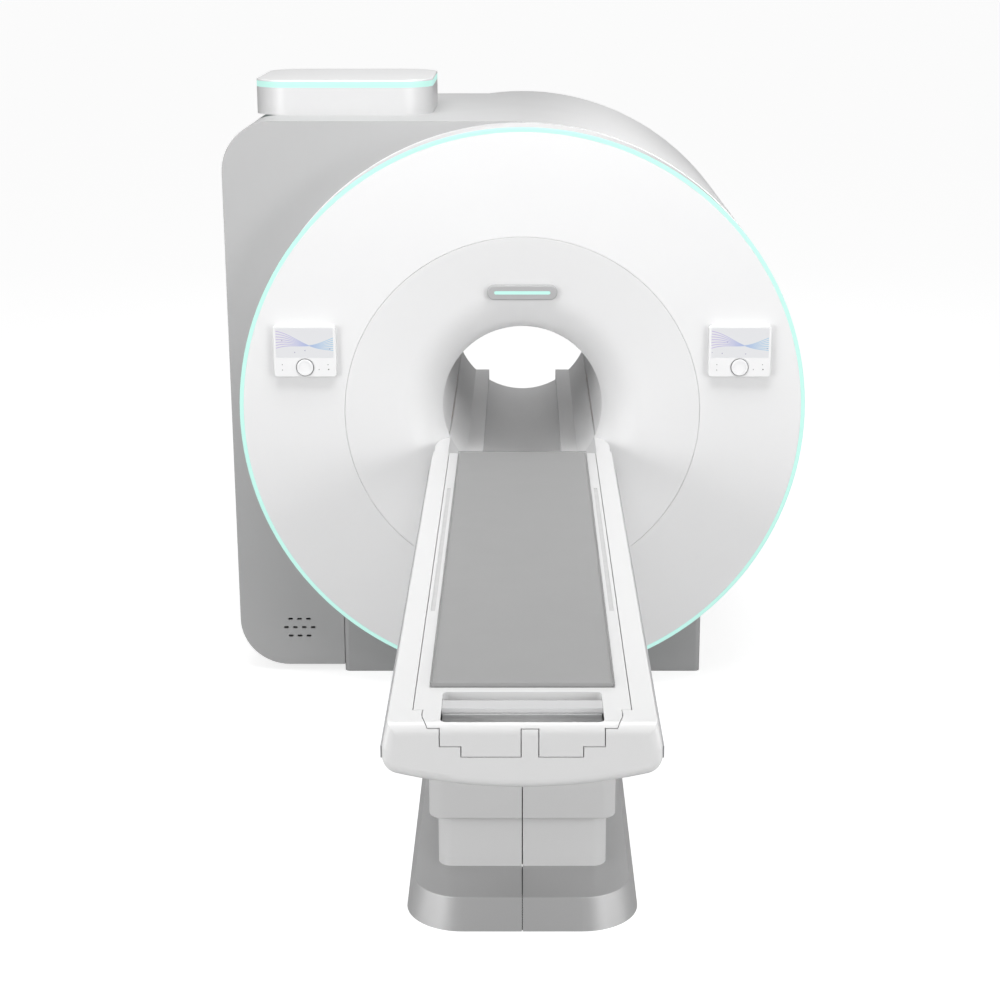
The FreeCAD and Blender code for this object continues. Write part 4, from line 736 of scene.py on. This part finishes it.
class SCANNER_OT_magnet(bpy.types.Operator):
    """Finish what lies inside the covers: vessel, coils, feet and cold head"""

    bl_idname = "scanner.magnet"
    bl_label = "Magnet"

    def execute(self, context):
        steel = painted("vessel_paint", (0.42, 0.44, 0.47))
        paint(steel, "cryostat_vessel", "cryostat_end_plate", "service_neck", "magnet_feet")
        paint(resin("former_fibre", (0.35, 0.30, 0.12)), "coil_former")
        paint(wound_copper("coil_copper", (0.60, 0.28, 0.14)), "main_coils")
        paint(metal("coil_foil", (0.65, 0.32, 0.18), 0.28), "rf_birdcage")
        paint(resin("potting", (0.10, 0.09, 0.07), 0.2), "gradient_coil")
        paint(metal("machine_metal", (0.42, 0.43, 0.45), 0.4), "cold_head")
        return {"FINISHED"}


class SCANNER_OT_drives(bpy.types.Operator):
    """Finish the lift and the cradle's drive"""

    bl_idname = "scanner.drives"
    bl_label = "Lift and Drive"

    def execute(self, context):
        paint(metal("ground_steel", (0.55, 0.56, 0.57), 0.22, (2.0, 2.0, 0.2)), "guide_tubes", "lift_screw")
        paint(metal("nut_bronze", (0.45, 0.29, 0.10), 0.3), "lift_nut")
        aluminium = metal("frame_aluminium", (0.62, 0.63, 0.64), 0.36, (3.0, 0.1, 3.0))
        paint(aluminium, "couch_frame", "lift_carriage")
        paint(painted("motor_grey", (0.16, 0.17, 0.18)), "lift_motor", "drive_motor")
        paint(rubber("belt_rubber", (0.02, 0.02, 0.02)), "drive_belt")
        paint(rubber("pulley_plastic", (0.05, 0.05, 0.055)), "idler_pulley", "drive_pulley")
        return {"FINISHED"}


class SCANNER_OT_stage(bpy.types.Operator):
    """Set the floor, the soft light and the camera"""

    bl_idname = "scanner.stage"
    bl_label = "Stage"

    def execute(self, context):
        settings = context.scene.scanner_stage
        context.scene.view_settings.view_transform = "Standard"
        self.camera(context.scene, settings)
        self.floor(settings)
        self.sky(context.scene, settings)
        table = Vector((0.0, RIM_PLANE, 0.0))
        bore = Vector((0.0, RIM_PLANE, AXIS_HEIGHT))
        self.softbox("key_light", bore + Vector((0, -1.6, 4.0)), bore + Vector((0, 0, 0.4)), (4.0, 2.0),
                     settings.key)
        for side, name in ((-1, "left"), (1, "right")):
            fill, strip = table + Vector((side * 5.3, -6.4, 2.4)), table + Vector((side * 4.0, -2.4, 0.5))
            self.softbox(name + "_light", fill, table + Vector((0, -1.5, 0.9)), (3.0, 3.0), settings.fill)
            self.softbox(name + "_strip", strip, table + Vector((0, -2.6, 0.1)), (1.8, 0.8), settings.side)
        behind = Vector((0.0, -RIM_PLANE, AXIS_HEIGHT))
        self.softbox("back_light", behind + Vector((0, 1.6, 0.5)), Vector((0, 0, AXIS_HEIGHT)), (1.2, 0.8),
                     settings.back)
        self.softbox("rear_light", Vector((0.0, 6.0, 4.6)), behind, (4.0, 3.0), settings.rear)
        return {"FINISHED"}

    def camera(self, scene, settings):
        """The camera in front of the table, over it and tilted down."""
        lens = bpy.data.cameras.new("camera")
        lens.lens, lens.shift_x = settings.lens, settings.shift
        lens.clip_end = 100.0
        seen = bpy.data.objects.new("camera", lens)
        seen.location = (0.0, RIM_PLANE - settings.camera_back, AXIS_HEIGHT + settings.camera_rise)
        seen.rotation_euler = (math.radians(90) - settings.camera_tilt, 0.0, 0.0)
        scene.collection.objects.link(seen)
        scene.camera = seen

    def floor(self, settings):
        """A wide pale floor. What it throws back on the scanner is dimmer than what it shows."""
        mesh = bpy.data.meshes.new("floor")
        form = bmesh.new()
        bmesh.ops.create_grid(form, x_segments=1, y_segments=1, size=400.0)
        form.to_mesh(mesh)
        form.free()
        made, tree, surface = shader("floor")
        surface.inputs["Base Color"].default_value = (*settings.floor, 1.0)
        surface.inputs["Roughness"].default_value = 0.8
        surface.inputs["Specular IOR Level"].default_value = 0.1
        seen = add(tree, "ShaderNodeLightPath").outputs["Is Camera Ray"]
        surface.inputs["Emission Color"].default_value = (1.0, 1.0, 1.0, 1.0)
        lift = maths(tree, "MULTIPLY", seen, settings.floor_lift)
        tree.links.new(lift, surface.inputs["Emission Strength"])
        mesh.materials.append(made)
        ground = bpy.data.objects.new("floor", mesh)
        bpy.context.scene.collection.objects.link(ground)

    def sky(self, scene, settings):
        """Soft light from all round, brightest overhead; what shows behind the scanner is white."""
        world = bpy.data.worlds.new("studio")
        world.use_nodes = True
        tree = world.node_tree
        back = tree.nodes["Background"]
        around = add(tree, "ShaderNodeTexCoord").outputs["Generated"]
        heading = add(tree, "ShaderNodeSeparateXYZ", {"Vector": around})
        height = add(tree, "ShaderNodeMapRange", {"Value": heading.outputs["Z"], "From Min": -0.3,
                                                  "From Max": 1.0}).outputs[0]
        soft = tint(tree, height, (0.45, 0.45, 0.45), (1.25, 1.25, 1.25))
        seen = add(tree, "ShaderNodeLightPath").outputs["Is Camera Ray"]
        mix = add(tree, "ShaderNodeMix", {"Factor": seen}, data_type="RGBA")
        tree.links.new(soft, mix.inputs["A"])
        mix.inputs["B"].default_value = (1 / settings.sky,) * 3 + (1.0,)
        tree.links.new(mix.outputs["Result"], back.inputs["Color"])
        back.inputs["Strength"].default_value = settings.sky
        scene.world = world

    def softbox(self, name, spot, aim, size, power):
        """A rectangular light that faces a point."""
        light = bpy.data.lights.new(name, "AREA")
        light.shape = "RECTANGLE"
        light.size, light.size_y = size
        light.energy = power
        lamp = bpy.data.objects.new(name, light)
        lamp.visible_camera = False
        lamp.location = spot
        lamp.rotation_euler = (Vector(aim) - Vector(spot)).to_track_quat("-Z", "Y").to_euler()
        bpy.context.scene.collection.objects.link(lamp)


class SCANNER_PT_looks(bpy.types.Panel):
    """Lists the scanner's settings and operators"""

    bl_label = "Scanner Looks"
    bl_idname = "SCANNER_PT_looks"
    bl_space_type = "VIEW_3D"
    bl_region_type = "UI"
    bl_category = "Scanner"

    def draw(self, context):
        for name in GROUPS:
            group = getattr(context.scene, name)
            box = self.layout.box()
            for setting in group.__annotations__:
                box.prop(group, setting)
        for operator in OPERATORS:
            self.layout.operator(operator.bl_idname)


OPERATORS = (
    SCANNER_OT_stage,
    SCANNER_OT_covers,
    SCANNER_OT_cabinet,
    SCANNER_OT_lights,
    SCANNER_OT_bore,
    SCANNER_OT_panels,
    SCANNER_OT_couch,
    SCANNER_OT_mattress,
    SCANNER_OT_column,
    SCANNER_OT_magnet,
    SCANNER_OT_drives,
)
GROUPS = {"scanner_colours": ScannerColours, "scanner_sizes": ScannerSizes, "scanner_stage": ScannerStage}


def register():
    """Adds the settings, the operators and the panel."""
    for name, group in GROUPS.items():
        bpy.utils.register_class(group)
        setattr(bpy.types.Scene, name, bpy.props.PointerProperty(type=group))
    for kind in OPERATORS + (SCANNER_PT_looks,):
        bpy.utils.register_class(kind)


def unregister():
    """Takes them away again."""
    for kind in (SCANNER_PT_looks,) + OPERATORS[::-1]:
        bpy.utils.unregister_class(kind)
    for name, group in GROUPS.items():
        delattr(bpy.types.Scene, name)
        bpy.utils.unregister_class(group)


def main():
    """Builds every piece."""
    register()
    for operator in OPERATORS:
        group, name = operator.bl_idname.split(".")
        getattr(getattr(bpy.ops, group), name)()


if __name__ == "__main__":
    main()
